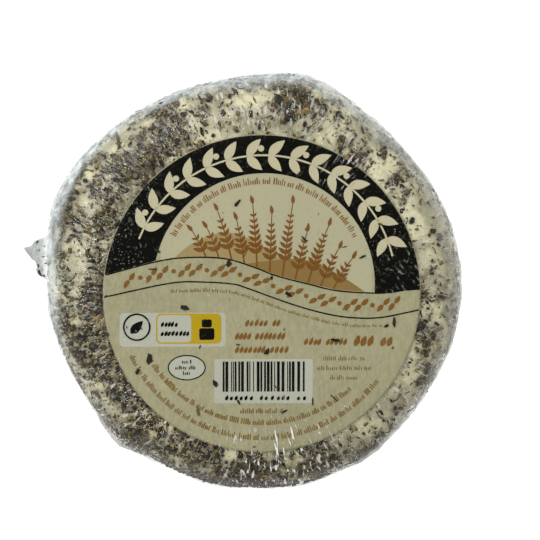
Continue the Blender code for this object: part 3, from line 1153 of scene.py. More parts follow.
UPPER_WAVE = (
    (-37.3, 4.6), (-24.9, 7.8), (-17.5, 8.7), (-8.8, 8.4), (-1.5, 6.2), (3.1, 4.4),
    (11.4, 2.2), (17.9, 0.7), (26.5, 0.1), (31.2, 0.3), (37.7, 1.5),
)
LOWER_WAVE = (
    (-37.7, -0.7), (-21.8, 2.6), (-13.2, 2.8), (-6.7, 2.3), (-3.7, 1.4),
    (7.1, -2.5), (15.7, -4.9), (22.2, -5.8), (28.7, -5.7), (37.5, -4.0),
)
lines = [wave(UPPER_WAVE, 0.32), wave(LOWER_WAVE, 0.32)]

# %% [markdown]
# ### A garland on the band
#
# The band carries a cream garland: a thin stem that follows the band, with leaves in pairs and a
# berry at every second pair. It repeats, so it is a loop round the arc.

# %% Garland
GARLAND_RADIUS = 31.9
GARLAND_CENTRE = (0.25, 1.2)
LEAF_PAIRS = 15
garland = [strip(arc(GARLAND_CENTRE, GARLAND_RADIUS, 158, 14, 0.8), 0.45)]
for pair, degrees in enumerate(np.linspace(153, 22, LEAF_PAIRS)):
    foot = GARLAND_CENTRE + GARLAND_RADIUS * directions(degrees)[0]
    garland.append(leaf_shape(foot, degrees - 38, 5.2, 2.3, -0.12))
    garland.append(leaf_shape(foot, degrees + 180 + 34, 4.9, 2.2, 0.12))
    if pair % 2:
        turn = math.radians(degrees) + 0.9
        berry = foot + 2.5 * np.array([math.cos(turn), math.sin(turn)])
        garland.append(oval(berry, 0.75, 0.75, 9))


# %% [markdown]
# ### Rows that stand for print
#
# The label has several rows of print. Here they are patterns with no letters: small rows are groups
# of plain upright ticks of uneven height, and larger ones are groups of slanting seeds. A row can
# follow any path, and everything uneven about it is drawn at random from one seed number.


# %% Rows of ticks and seeds
print_rng = np.random.default_rng(31)


def places_along(path, pitch, group):
    """Places and directions along a path, one pitch apart, with a gap after each random group."""
    path = np.asarray(path, dtype=float)
    distance = np.concatenate([[0], np.cumsum(np.linalg.norm(np.diff(path, axis=0), axis=1))])
    steps = pitch * print_rng.uniform(0.85, 1.15, int(distance[-1] / pitch) + 1)
    ends = np.cumsum(print_rng.integers(*group, size=len(steps)))
    steps[ends[ends < len(steps)]] += 0.9 * pitch
    here = np.cumsum(steps) - steps[0] / 2
    here = here[here < distance[-1]]
    ahead = np.gradient(path, axis=0)
    place = np.column_stack([np.interp(here, distance, path[:, i]) for i in (0, 1)])
    way = np.column_stack([np.interp(here, distance, ahead[:, i]) for i in (0, 1)])
    return place, way / np.linalg.norm(way, axis=1, keepdims=True)


def ticks_along(path, height, stroke=0.26, pitch=0.48, group=(3, 9)):
    """Upright ticks: a strip square to the path at each place, with one of three heights."""
    ticks = []
    for place, way in zip(*places_along(path, pitch, group)):
        left = np.array([-way[1], way[0]])
        top = height * print_rng.choice((0.60, 0.72, 1.0))
        foot = place - left * height * 0.35
        ticks.append(strip(straight(foot, foot + left * top), stroke * print_rng.uniform(0.8, 1.25), 1))
    return ticks


def seeds_along(path, length, width, pitch, group=(4, 9)):
    """Slanting seeds: a small leaf shape at each place, all leaning the same way from the path."""
    seeds = []
    for place, way in zip(*places_along(path, pitch, group)):
        leaning = math.degrees(math.atan2(way[1], way[0])) + 66
        foot = place - directions(leaning)[0] * length / 2
        seeds.append(leaf_shape(foot, leaning, length * print_rng.uniform(0.8, 1.05), width, 0.0))
    return seeds


def level(left, right, y):
    return straight((left, y), (right, y), 0.8)


brown = ticks_along(arc(BAND_CENTRE, 24.5, 152, 27, 0.8), 1.6, 0.27, 0.52)
olive = ticks_along(arc((0, 0), 31.0, 208.5, 313, 0.8), 1.4, 0.32)
olive += ticks_along(arc((0, 0), 34.6, 205, 324, 0.8), 1.4, 0.32)
under_wave = np.array(LOWER_WAVE[1:-1]) - (0, 2.0)
olive += ticks_along(strip(under_wave, 0.1, 2)[:, 1], 0.8, 0.20, 0.38)
for half, y in ((4.2, -6.9), (6.6, -10.1), (6.6, -13.3)):
    brown += seeds_along(level(0.2 - half, 0.2 + half, y), 2.0, 0.85, 1.05)
brown += seeds_along(level(10.0, 20.5, -11.4), 2.0, 0.85, 1.05)
brown += seeds_along(level(22.0, 31.0, -11.3), 2.9, 1.35, 1.7, (3, 5))
for half, y in ((5.0, -15.6), (6.4, -17.9), (3.4, -20.2)):
    olive += ticks_along(level(19.5 - half, 19.5 + half, y), 1.1, 0.23, 0.44)
brown += ticks_along(level(-5.3, 5.1, -28.2), 1.15)

# %% [markdown]
# The strip between the two wave lines holds a row of small leaves and dots, and the picture above
# it is a fan of herb sprigs that grows from two low hills.


# %% Sprigs, hills and the wave's row
def wave_heights(x):
    """Heights of the upper and of the lower wave line, so far across."""
    return [np.interp(x, *np.array(places).T) for places in (UPPER_WAVE, LOWER_WAVE)]


def along_wave(share):
    """A place midway between the waves, and their mean direction there in degrees."""
    x = -33.0 + 66.0 * share
    rise = (sum(wave_heights(x + 1)) - sum(wave_heights(x - 1))) / 2
    return (x, sum(wave_heights(x)) / 2), math.degrees(math.atan2(rise, 2))


WAVE_MOTIFS = 25
for number in range(WAVE_MOTIFS):
    place, degrees = along_wave((number + 0.5) / WAVE_MOTIFS)
    if number % 3 == 1:
        brown.append(oval(place, 0.55, 0.55, 9))
    else:
        brown.append(leaf_shape(place, degrees + 35, 2.3, 1.15))
        brown.append(leaf_shape(place, degrees + 215, 2.3, 1.15))


# The sprigs grow from the upper wave and fill a circle, each to its own share of the way to it.
SPRIG_CIRCLE = 23.0
SPRIG_SHARES = (0.98, 0.80, 0.97, 0.74, 0.92, 0.80, 0.97, 0.72, 0.95, 0.82, 0.98)
TIP_LEAF = 2.2


def sprig(base, degrees, length, pairs, bend):
    """A bent stem with pairs of leaves that grow smaller towards its tip, and one leaf on the tip."""
    share = np.linspace(0, 1, 15)[:, None]
    ahead, left = directions(degrees)
    path = np.array(base) + length * (share * ahead + bend * share**2 * left)
    shapes = [strip(path, np.linspace(0.42, 0.2, 15), 1)]
    for pair in range(pairs):
        here = 0.22 + 0.68 * pair / pairs
        place = [np.interp(here, share[:, 0], path[:, i]) for i in (0, 1)]
        leaning = degrees + math.degrees(math.atan(2 * bend * here))
        for side in (-1, 1):
            size = 1.25 - here
            shapes.append(leaf_shape(place, leaning + 46 * side, 2.5 * size, 1.05 * size))
    shapes.append(leaf_shape(path[-1], degrees + math.degrees(math.atan(2 * bend)), TIP_LEAF, 0.9))
    return shapes


sepia = []
for number, share in enumerate(SPRIG_SHARES):
    x, degrees = -13.4 + 3.05 * number, 112 - 4.8 * number
    base = np.array([x, wave_heights(x)[0] + 0.3])
    ahead = directions(degrees)[0]
    # The way from the base to the circle, along this direction.
    offset = base - BAND_CENTRE
    room = -offset @ ahead + math.sqrt((offset @ ahead) ** 2 + SPRIG_CIRCLE**2 - offset @ offset)
    length = room * share - TIP_LEAF
    sepia += sprig(base, degrees, length, max(3, round(length / 2.2)), 0.02 * (5 - number))


def hill(left, right, peak, height):
    """A filled hill on the upper wave: each place is a blend of the wave's height and a half sine's."""
    x = np.linspace(left, right, 28)
    foot = wave_heights(x)[0]
    rise = height * np.sin(math.pi * ((x - left) / (right - left)) ** peak)
    share = np.linspace(0, 1, 7)[None, :]
    y = foot[:, None] + 0.2 + np.maximum(rise, 0.02)[:, None] * share
    return np.stack([np.broadcast_to(x[:, None], y.shape), y], axis=-1)


def pale_field():
    """The pale field over the upper wave: it reaches from the wave up to the band's inner circle."""
    x = np.linspace(-24.2, 26.4, 46)
    foot = wave_heights(x)[0]
    top = BAND_CENTRE[1] + np.sqrt(np.maximum(BAND_INNER**2 - (x - BAND_CENTRE[0]) ** 2, 0))
    share = np.linspace(0, 1, 23)[None, :]
    y = foot[:, None] * (1 - share) + np.maximum(top, foot + 0.05)[:, None] * share
    return np.stack([np.broadcast_to(x[:, None], y.shape), y], axis=-1)


# %% [markdown]
# ### The boxes
#
# Low on the left lies a pale panel with a ring and a yellow tag, below it a small oval, and beside
# that the pale field with upright dark stripes of several widths.

# %% Boxes, stripes and icons
PANEL = (-34.0, -12.6, -8.7, -4.5)
TAG = (-25.3, -11.9, -9.7, -4.7)
STRIPES = (-9.4, -23.4, 11.1, -16.2)
STRIPE_FIELD = (-11.4, -26.2, 12.1, -15.6)
OVAL = ((-18.0, -17.6), 4.4, 2.9)
RING = ((-29.9, -7.9), 3.1, 3.1)

pale = [rounded_box(*PANEL, 1.0), rounded_box(*STRIPE_FIELD, 0.3), oval(*OVAL, 20)]
yellow = [rounded_box(*TAG, 1.2)]
tag_window = [rounded_box(TAG[0] + 0.35, TAG[1] + 0.35, TAG[2] - 7.2, TAG[3] - 0.35, 0.9)]

black = [band, *lines, ring(*RING, 0.42), ring(*OVAL, 0.28)]
black.append(leaf_shape((RING[0][0] - 1.5, RING[0][1] - 1.5), 45, 4.2, 2.1, 0.0))
black += [rounded_box(-15.0, -11.0, -11.4, -8.2, 0.5), rounded_box(-14.4, -8.0, -12.0, -6.1, 0.5)]
for number, y in enumerate((-7.2, -9.4)):
    black += seeds_along(level(-24.2, -19.2 + 1.6 * number, y), 1.5, 0.7, 0.85)
for half, y in ((1.2, -16.3), (2.8, -17.7), (1.0, -19.0)):
    black += ticks_along(level(OVAL[0][0] - half, OVAL[0][0] + half, y), 0.9, 0.24, 0.46)

stripe_rng = np.random.default_rng(12)
stripe_left = STRIPES[0]
while stripe_left < STRIPES[2] - 1.0:
    stripe_width = stripe_rng.choice((0.22, 0.44, 0.66))
    centre = stripe_left + stripe_width / 2
    black.append(strip(straight((centre, STRIPES[1]), (centre, STRIPES[3]), 1.2), stripe_width, 1))
    stripe_left += stripe_width + stripe_rng.choice((0.22, 0.44, 0.66))
black += seeds_along(level(STRIPES[0] + 0.4, STRIPES[2] - 0.4, -24.9), 1.3, 0.75, 1.3, (6, 7))

# Each piece of print: its name, shapes, ink, and its height over the paper in mm.
PRINTED = (
    ("print_sky", [pale_field()], SKY_INK, 0.018),
    ("print_pale_hill", [hill(-21.0, 12.0, 0.9, 6.5)], PALE_TAN_INK, 0.036),
    ("print_hill", [hill(-4.0, 24.5, 1.1, 5.4)], TAN_INK, 0.054),
    ("print_sprigs", sepia, SEPIA_INK, 0.072),
    ("print_fine_rows", olive, OLIVE_INK, 0.030),
    ("print_panels", pale, WHITE_INK, 0.018),
    ("print_tag", yellow, YELLOW_INK, 0.036),
    ("print_tag_window", tag_window, WHITE_INK, 0.054),
    ("print_black", black, BLACK_INK, 0.072),
    ("print_brown", brown, BROWN_INK, 0.056),
    ("print_garland", garland, CREAM_INK, 0.090),
)
for name, shapes, look, lift in PRINTED:
    print_in(name, shapes, look, lift * MM)

# %% [markdown]
# ### Crumbs on the label
#
# A few scraps of herb were caught between the label and the film. They are the same leaf plates and
# stalks as before, pressed flat, and set by the golden turn so that they never line up. The largest
# lie where the solid label has its crumbs.

# %% Crumbs
LARGE_CRUMBS, SMALL_CRUMBS, CRUMB_STALKS = 14, 34, 5
GOLDEN_TURN = math.pi * (3 - math.sqrt(5))


def golden_places(count, reach):
    """Places spread evenly over a disc: each a golden turn on, and out by a square root."""
    number = np.arange(count)
    return reach * np.sqrt((number + 0.5) / count), number * GOLDEN_TURN


def headed(shapes, heading):
    """The two flat coordinates of small shapes, each shape turned by its own heading."""
    cosine, sine = np.cos(heading), np.sin(heading)
    x, y = shapes[..., 0], shapes[..., 1]
    return np.stack([x * cosine - y * sine, x * sine + y * cosine], axis=-1)


def on_label_flat(shapes, rng, reach, angle):
    """Lays small shapes on the label's face, pressed to a fifth of a millimetre and headed anyhow."""
    middle = np.column_stack([reach * np.cos(angle), reach * np.sin(angle)])
    face = on_label(headed(shapes, rng.uniform(0, math.tau, (len(angle), 1))) + middle[:, None])
    face[..., 2] += (0.12 + np.clip(0.6 * shapes[..., 2] / MM, -0.1, 0.1)) * MM
    return face


large_crumbs = leaf_plates(LARGE_CRUMBS, rng)
lengths = rng.uniform(1.7, 2.7, LARGE_CRUMBS) * MM
large_crumbs *= (lengths / np.ptp(large_crumbs[..., 0], axis=1))[:, None, None]
large_crumbs = on_label_flat(large_crumbs, rng, *golden_places(LARGE_CRUMBS, LABEL_RADIUS - 5.0 * MM))
reach, angle = golden_places(SMALL_CRUMBS, LABEL_RADIUS - 1.0 * MM)
small_crumbs = leaf_plates(SMALL_CRUMBS, rng) * 0.85
angle = angle + 1.0 + rng.normal(0, 0.25, SMALL_CRUMBS)
small_crumbs = on_label_flat(small_crumbs, rng, reach, angle)
crumb_tints = np.append(rng.uniform(0, 0.45, LARGE_CRUMBS), rng.uniform(0, 0.8, SMALL_CRUMBS))
crumb_shapes = np.concatenate([large_crumbs, small_crumbs])
crumb_leaf = heap("label_crumb_leaf", crumb_shapes, LEAF_FACES, crumb_tints, False)
reach, angle = golden_places(CRUMB_STALKS, LABEL_RADIUS - 6.0 * MM)
crumb_rods = on_label_flat(stalk_rods(CRUMB_STALKS, rng) * 0.8, rng, reach, angle + 2.0)
crumb_tints = rng.uniform(0, 0.6, CRUMB_STALKS)
crumb_stalk = heap("label_crumb_stalk", crumb_rods, STALK_FACES, crumb_tints, True)
for piece, look in ((crumb_leaf, leaf_green), (crumb_stalk, stalk_brown)):
    piece.data.materials.append(look)
    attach(piece, "root")

# %% [markdown]
# ## The film
#
# The film is one bag: drawn tight over the label, clinging to the herbs, pleated down the side, and
# gathered to a sealed knot underneath. On the left a loose corner sticks out as a small crumpled ear.
# It is a single thin sheet, so the mesh has no wall, only a very fine grid, because all that one sees
# of clear film is what its wrinkles do to the light.
#
# Each kind of wrinkle is a small function of the place, and the film's lift is their sum.

# %% Wrinkles
FILM_COLUMNS = 548
EAR_DIRECTION = math.radians(171.5)
# The ear's outline in mm: how far round from its direction, and how far out there.
OUTLINE_ROUND = (-3.6, -2.6, -2.0, -0.7, -0.1, 2.2, 2.8, 4.7, 6.0, 6.6)
OUTLINE_OUT = (0.0, 1.5, 3.3, 3.5, 5.6, 4.0, 2.9, 2.5, 1.8, 0.0)
EAR_HALF_HEIGHT = 4.0 * MM


def pleat_coordinates(angle, along, finest, length):
    """Points for noise that is long down the profile and short round it, so its ridges are pleats."""
    reach = CHEESE_RADIUS / finest
    return np.stack([reach * np.cos(angle), reach * np.sin(angle), along / length], axis=-1)


def side_pleats(angle, along):
    """Ridges that run down the side, strongest below the edge's middle and none on the top."""
    where = smooth_step(along, EDGE_START - 2 * MM, EDGE_START + 14 * MM)
    where = where * (1 - 0.6 * smooth_step(along, EDGE_END - 4 * MM, EDGE_END + 4 * MM))
    coarse = ridges(pleat_coordinates(angle, along, 3.1 * MM, 16 * MM), 1.0, 51)
    fine = ridges(pleat_coordinates(angle, along, 1.4 * MM, 9 * MM), 1.0, 52)
    return (0.20 * coarse + 0.12 * fine) * MM * where


def crinkle(points):
    """Crossing creases: sharp ridges of two sizes, and soft bumps where the film clings to herbs."""
    bare = under_label(points)
    creases = 0.060 * ridges(points, 3.8 * MM, 61) + 0.045 * ridges(points, 2.0 * MM, 62)
    clinging = 0.080 * lumps(points, 2.1 * MM, 63) + 0.050 * lumps(points, 1.2 * MM, 64)
    return (creases * (1 - 0.6 * bare) + clinging * (1 - 0.93 * bare)) * MM


def ear_reach(angle):
    """How far the loose corner's outline stands out from the side in each direction."""
    round_way = (CHEESE_RADIUS / MM + 1.4) * np.angle(np.exp(1j * (angle - EAR_DIRECTION)))
    return np.interp(round_way, OUTLINE_ROUND, OUTLINE_OUT) * MM


def ear_push(angle, height):
    """How far the film is pushed out: the outline, thinning to nothing above and below."""
    return ear_reach(angle) * np.clip(1 - np.abs(height - MIDDLE) / EAR_HALF_HEIGHT, 0, 1)


# %% [markdown]
# Underneath, the pleats run in to the middle and deepen as they are gathered, and the sealed end is a
# flat crumpled disc. Heights there are counted up from the table, so the film never goes below it.

# %% Shape of the film
SEAL_RADIUS = 9.9 * MM
OVER_LABEL = 0.78 * MM
OVER_HERBS = 0.86 * MM
LOWEST = 0.03 * MM


def under_height(angle, along):
    """Height of the film over the table underneath: gathered ridges, and crumples in the seal."""
    radius = WHOLE_LENGTH - along
    gathered = 1 - smooth_step(radius, SEAL_RADIUS, FLAT_RADIUS)
    many = ridges(pleat_coordinates(angle, along, 2.3 * MM, 26 * MM), 1.0, 71)
    few = ridges(pleat_coordinates(angle, along, 4.8 * MM, 40 * MM), 1.0, 72)
    folds = (0.10 + 0.34 * gathered) * (0.6 * few + 0.5 * many)
    flat = np.stack([radius * np.cos(angle), radius * np.sin(angle), np.zeros_like(radius)], axis=-1)
    knot = 0.34 * ridges(flat, 2.4 * MM, 73) + 0.16 * ridges(flat, 1.1 * MM, 74)
    in_seal = 1 - smooth_step(radius, SEAL_RADIUS - 1.5 * MM, SEAL_RADIUS + 1.0 * MM)
    return LOWEST + (folds * (1 - in_seal) + knot * in_seal) * MM


def film_surface(angle, along):
    """Points of the film: lifted off the form by its wrinkles, and pushed out by puffs and ear."""
    form = on_form(angle, along)
    cling = OVER_HERBS - (OVER_HERBS - OVER_LABEL) * under_label(form)
    lift = cling + 0.35 * side_fill(along) + crinkle(form) + side_pleats(angle, along)
    height = np.interp(along, profile_length, profile_height)
    side = np.clip(2 - 2 * np.abs(height - MIDDLE) / MIDDLE, 0, 1)
    push = ear_push(angle, height) + swelling(angle, PUFFS) * side
    loose = smooth_step(push, 0.8 * MM, 2.5 * MM) * MM
    push += swelling(angle, FULLNESS) * side
    above = on_form(angle, along, lift, push + np.minimum(0.5 * loose * lumps(form, 1.8 * MM, 65), 0))
    above[..., 2] += loose * (0.7 * lumps(form, 1.5 * MM, 66) + 0.5 * ridges(form, 2.2 * MM, 67))
    below = above.copy()
    below[..., 2] = under_height(angle, along)
    blend = smooth_step(along, EDGE_END - 7 * MM, EDGE_END - 0.5 * MM)[..., None]
    joined = above * (1 - blend) + below * blend
    joined[..., 2] = np.maximum(joined[..., 2], LOWEST)
    return joined


UNDER_ROWS = ((WHOLE_LENGTH - 12 * MM, 24), (WHOLE_LENGTH - 0.5 * MM, 15))
film_rows = spread_rows((34 * MM, 54), (EDGE_START, 7), (EDGE_END, 78), *UNDER_ROWS)
film_angle = np.linspace(0, math.tau, FILM_COLUMNS, endpoint=False)
grid_angle, grid_along = np.meshgrid(film_angle, film_rows)
film_points = film_surface(grid_angle, grid_along)
film_poles = film_surface(np.zeros(2), np.array([0.0, WHOLE_LENGTH]))
film = new_piece(
    "wrapped_film",
    np.concatenate([film_points.reshape(-1, 3), film_poles]),
    round_faces(len(film_rows), FILM_COLUMNS, True),
)
print("film faces:", len(film.data.polygons))

# %% [markdown]
# Some herb was caught in the ear when the film was folded. Film as hazy as that would hide it, so the
# scraps are set a hair above the ear's upper sheet: each is given its way round and out, and the height
# where the sheet lies that far out follows from the ear's own formula.

# %% Herb in the ear
# Where they lie: how far round from the ear's direction and how far out from the side, in mm.
EAR_ROUND = np.array((-1.7, -0.2, 3.5, 4.2, 5.1, 5.6, 1.2, -1.2, 2.6))
EAR_OUT = np.array((2.7, 1.9, 2.0, 1.1, 1.5, 0.7, 0.8, 0.7, 0.3))
EAR_SCRAPS = len(EAR_ROUND)
ear_turn = EAR_DIRECTION + EAR_ROUND * MM / CHEESE_RADIUS
ear_share = EAR_OUT * MM / ear_reach(ear_turn)
sheet_height = MIDDLE + EAR_HALF_HEIGHT * np.clip(1 - ear_share, 0, 1)
sheet_along = np.interp(-sheet_height, -profile_height, profile_length)
ear_middle = film_surface(ear_turn, sheet_along) + np.array([0, 0, 0.12]) * MM
ear_heading = rng.uniform(0, math.tau, (EAR_SCRAPS, 1))
ear_plates = leaf_plates(EAR_SCRAPS, rng) * 1.1
ear_plates[..., :2] = headed(ear_plates, ear_heading)
ear_shapes = ear_middle[:, None] + ear_plates
ear_herb = heap("ear_herb", ear_shapes, LEAF_FACES, rng.uniform(0, 0.6, EAR_SCRAPS), False)
ear_herb.data.materials.append(leaf_green)
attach(ear_herb, "root")

# %% [markdown]
# ### Clear film
#
# Glass with refraction would be slow and wrong here, because film is too thin to bend what lies
# behind it. What it does is reflect: a little where one looks straight at it, and more at a grazing
# angle. So the material mixes a see-through shader with a mirror-like one, by Fresnel. A second mix
# adds haze where the film is folded several times over, at the side, underneath and in the ear. Haze
# looks thicker where one looks along the film, so it also grows with the facing of Layer Weight. On
# the side its pale colour is also a painted reflection of the bright tent.
#
# Most wrinkles are far finer than the mesh, so they are a bump. Three node groups make its height: a
# field of tiny clinging creases and blisters, pleats that run outwards from the middle, and a patch
# of parallel stretch marks, which is placed wherever the wrap is pulled tight over an edge. The
# pleats, stretch marks and blisters are also painted white, as painted highlights for their glints.

# %% Where the film is milky
# How milky the side looks in each direction: degrees, share, how far down the edge it starts in mm,
# and its tone: 0.15 is a cold white, 0.5 a warm grey and 1 a dark one. The share is partly the haze
# of folded film and partly a painted reflection of the bright tent. The tone is painted light and
# shade: cold white on the upper left, which faces the key light, and dark grey along the bottom and
# lower right, away from it.
MILKY_AND_PAINTED_LIGHT = (
    (0, 0.62, 6.0, 0.52),
    (30, 0.58, 7.2, 0.45),
    (60, 0.62, 6.8, 0.26),
    (90, 0.58, 7.6, 0.18),
    (120, 0.48, 9.6, 0.15),
    (150, 0.76, 9.0, 0.15),
    (180, 0.64, 8.2, 0.15),
    (205, 0.26, 9.8, 0.42),
    (235, 0.14, 13.0, 0.62),
    (270, 0.12, 13.5, 0.74),
    (298, 0.28, 11.5, 0.66),
    (320, 0.56, 9.0, 0.60),
    (340, 0.62, 7.2, 0.55),
)
side_haze_and_reflection, milky_start, milky_light_tone = by_direction(np.degrees(grid_angle), MILKY_AND_PAINTED_LIGHT)
film_height = np.interp(grid_along, profile_length, profile_height)
wander = 1.3 * MM * lumps(film_points, 6 * MM, 82)
low_side = smooth_step((grid_along + wander - EDGE_START) / MM - milky_start, 0.0, 3.2)
low_side *= 1 - 0.35 * smooth_step(grid_along + 2 * wander, EDGE_START + 17 * MM, EDGE_START + 24 * MM)
pleat_haze = ridges(pleat_coordinates(grid_angle, grid_along, 2.2 * MM, 12 * MM), 1.0, 81)
puffed = np.clip(swelling(grid_angle, PUFFS) / (0.6 * MM), 0, 1)
puffed *= smooth_step(grid_along, EDGE_START + 9 * MM, EDGE_START + 14 * MM)
seal_haze = smooth_step(grid_along, WHOLE_LENGTH - 24 * MM, WHOLE_LENGTH - 8 * MM)
pushed_out = ear_push(grid_angle, film_height)
in_ear = smooth_step(pushed_out, 0.1 * MM, 1.4 * MM)
veil = 0.02 * smooth_step(lumps(film_points, 3.0 * MM, 83), 0.1, 0.7) * (1 - under_label(film_points))
# Haze of folded film on the side, partly a painted reflection of the bright tent.
grid_haze_and_reflection = veil + low_side * side_haze_and_reflection * (0.8 + 0.4 * pleat_haze) * (1 - 0.6 * in_ear)
ear_haze = 1.15 * in_ear * (0.75 + 0.6 * ridges(film_points, 1.6 * MM, 84))
grid_haze_and_reflection += 0.5 * seal_haze + ear_haze + 0.40 * puffed
# Painted light and shade on the milky side: cold white towards the key light, darker grey away.
painted_light_tone = 0.5 * (1 - low_side) + milky_light_tone * low_side
painted_light_tone = np.maximum(painted_light_tone, 0.8 * puffed) * (1 - smooth_step(pushed_out, 0.2 * MM, 1.4 * MM))

# %% Where it is pleated and blistered
# Pleats, bumped and painted white as painted highlights: direction, its spread in degrees, from and
# to how far outside the label in mm, share.
PLEATED = (
    (90, 42, 0.5, 12, 0.55),
    (150, 22, 2.0, 12, 0.35),
    (182, 18, 1.0, 12, 0.40),
    (222, 24, 0.5, 12, 0.60),
    (277, 24, -5.5, 12, 0.95),
    (320, 22, 0.0, 9, 0.55),
    (10, 25, 1.5, 9, 0.45),
    (52, 7, -8.0, 6, 0.60),
)
outside = from_label(film_points) / MM
pleated = np.full(grid_angle.shape, 0.10) * (1 - under_label(film_points))
for direction, spread, start, end, share in PLEATED:
    away = np.degrees(np.angle(np.exp(1j * (grid_angle - math.radians(direction)))))
    reach = smooth_step(outside, start - 1.0, start + 1.0) * (1 - smooth_step(outside, end - 1.5, end + 1.5))
    pleated = np.maximum(pleated, share * np.exp(-((away / spread) ** 2)) * reach)
# Small blisters of air, most on the left of the dark band, bumped and painted white as painted
# highlights: place in mm, spread in mm, share.
BLISTERED = (
    (-34, 10, 8, 0.8),
    (-29, 20, 6, 0.5),
    (-36, -2, 5, 0.4),
    (-27, -3, 7, 0.6),
    (-12, 0, 5, 0.5),
    (-33, -11, 6, 0.7),
    (-25, -19, 5, 0.6),
    (-3, -9, 4, 0.5),
    (-12, -31, 6, 0.5),
    (8, -29, 9, 0.40),
    (21, -20, 7, 0.55),
    (30, 12, 7, 0.35),
    (0, 0, 60, 0.16),
)
blistered = np.zeros(grid_angle.shape)
for x, y, spread, share in BLISTERED:
    far = np.linalg.norm(film_points[..., :2] / MM - (x, y), axis=-1) / spread
    blistered = np.maximum(blistered, share * np.exp(-(far**2)))
blistered *= (film_points[..., 2] > MIDDLE) * (0.75 + 0.75 * lumps(film_points, 2.6 * MM, 85))
# Each number's name, its values on the grid, and those at the top and bottom poles.
for name, values, at_poles in (
    ("haze_and_reflection", np.clip(grid_haze_and_reflection, 0, 1.6), (0, 0.6)),
    ("painted_light_tone", painted_light_tone, (0, 0.3)),
    ("pleated", pleated, (0, 0.1)),
    ("blistered", blistered, (0.1, 0)),
    ("ring", 1 - 0.88 * under_label(film_points), (0, 1)),
):
    set_attribute(film, name, np.append(values, at_poles))


# %% Film bump
def build_cling():
    """Height of the clinging creases: ridged noise of two sizes, and sparse small blisters."""
    group, start, end = new_group("film_cling", (("Scale", 700.0),), ("Creases", "Blisters"))
    vector, scale = start.outputs["Vector"], start.outputs["Scale"]
    creases = []
    for finer in (1.0, 2.6):
        value = noise_node(group, vector, times(group, scale, finer), 2.0, 0.5, 0.7)
        away = math_node(group, "ABSOLUTE", minus(group, value, 0.5))
        creases.append(map_range(group, away, 0.0, 0.24, 1.0, 0.0, "LINEAR"))
    summed = plus(group, creases[0], times(group, creases[1], 0.45))
    group.links.new(summed, end.inputs["Creases"])
    spots = noise_node(group, vector, 1700.0, 1.0)
    group.links.new(map_range(group, spots, 0.60, 0.72), end.inputs["Blisters"])
    return group


def build_pleats():
    """Mask of pleats that run outwards from the middle, for their bump and painted highlights.

    The noise is read at (direction x radius / Width, way out and down / Length), so that it is short
    round the middle and long outwards and down the side, and only its crests are kept.
    """
    group, start, end = new_group("film_pleats", (("Width", 0.0005), ("Length", 0.003)), ("Mask",))
    given = start.outputs
    flat = vector_node(group, "MULTIPLY", given["Vector"], (1.0, 1.0, 0.0)).outputs["Vector"]
    out = vector_node(group, "LENGTH", flat).outputs["Value"]
    spread = vector_node(group, "SCALE", vector_node(group, "NORMALIZE", flat).outputs["Vector"])
    feed(group, math_node(group, "DIVIDE", CHEESE_RADIUS, given["Width"]), spread.inputs["Scale"])
    split, lifted = group.nodes.new("ShaderNodeSeparateXYZ"), group.nodes.new("ShaderNodeCombineXYZ")
    feed(group, given["Vector"], split.inputs["Vector"])
    way = minus(group, out, split.outputs["Z"])
    feed(group, math_node(group, "DIVIDE", way, given["Length"]), lifted.inputs["Z"])
    place = vector_node(group, "ADD", spread.outputs["Vector"], lifted.outputs["Vector"])
    crests = noise_node(group, place.outputs["Vector"], 1.0, 1.0, 0.5, 0.5)
    group.links.new(map_range(group, crests, 0.60, 0.68), end.inputs["Mask"])
    return group


def build_stretch():
    """Height of one patch of stretch marks: straight-sided ridges inside a bell-shaped edge.

    The place is measured from the patch's middle, along and across its direction. The ridges' phase
    is across / Spacing plus slow noise, and the bell is exp(-(along / Length)^2 - (across / Width)^2).
    """
    place = (("X", 0.0), ("Y", 0.0), ("Turn", 0.0))
    sizes = (("Length", 0.006), ("Width", 0.006), ("Spacing", 0.0012))
    group, start, end = new_group("film_stretch", (*place, *sizes), ("Height",))
    given = start.outputs
    split = group.nodes.new("ShaderNodeSeparateXYZ")
    feed(group, given["Vector"], split.inputs["Vector"])
    east, north = (minus(group, split.outputs[axis], given[axis]) for axis in "XY")
    cosine, sine = math_node(group, "COSINE", given["Turn"]), math_node(group, "SINE", given["Turn"])
    along = plus(group, times(group, east, cosine), times(group, north, sine))
    across = minus(group, times(group, north, cosine), times(group, east, sine))
    far = [
        math_node(group, "POWER", math_node(group, "DIVIDE", value, given[size]), 2.0)
        for value, size in ((along, "Length"), (across, "Width"))
    ]
    bell = math_node(group, "EXPONENT", times(group, plus(group, *far), -1.0))
    bend = times(group, noise_node(group, given["Vector"], 170.0, 2.0), 2.4)
    phase = plus(group, math_node(group, "DIVIDE", across, given["Spacing"]), bend)
    crest = map_range(group, math_node(group, "PINGPONG", phase, 0.5), 0.0, 0.23, 1.0, 0.0, "LINEAR")
    broken = map_range(group, noise_node(group, given["Vector"], 420.0, 2.0), 0.50, 0.64)
    group.links.new(times(group, times(group, crest, bell), broken), end.inputs["Height"])
    return group


CLING, PLEATS, STRETCH = build_cling(), build_pleats(), build_stretch()
# Stretch patches: middle in mm, direction in degrees, half length, half width and spacing in mm.
STRETCHES = (
    ((35.0, 4.0), 128, 7.0, 6.0, 1.5),
    ((20.5, 27.5), 48, 4.5, 3.5, 1.2),
    ((-30.0, 22.0), 135, 6.0, 6.0, 1.7),
    ((5.0, -29.0), 96, 4.0, 4.0, 1.8),
)

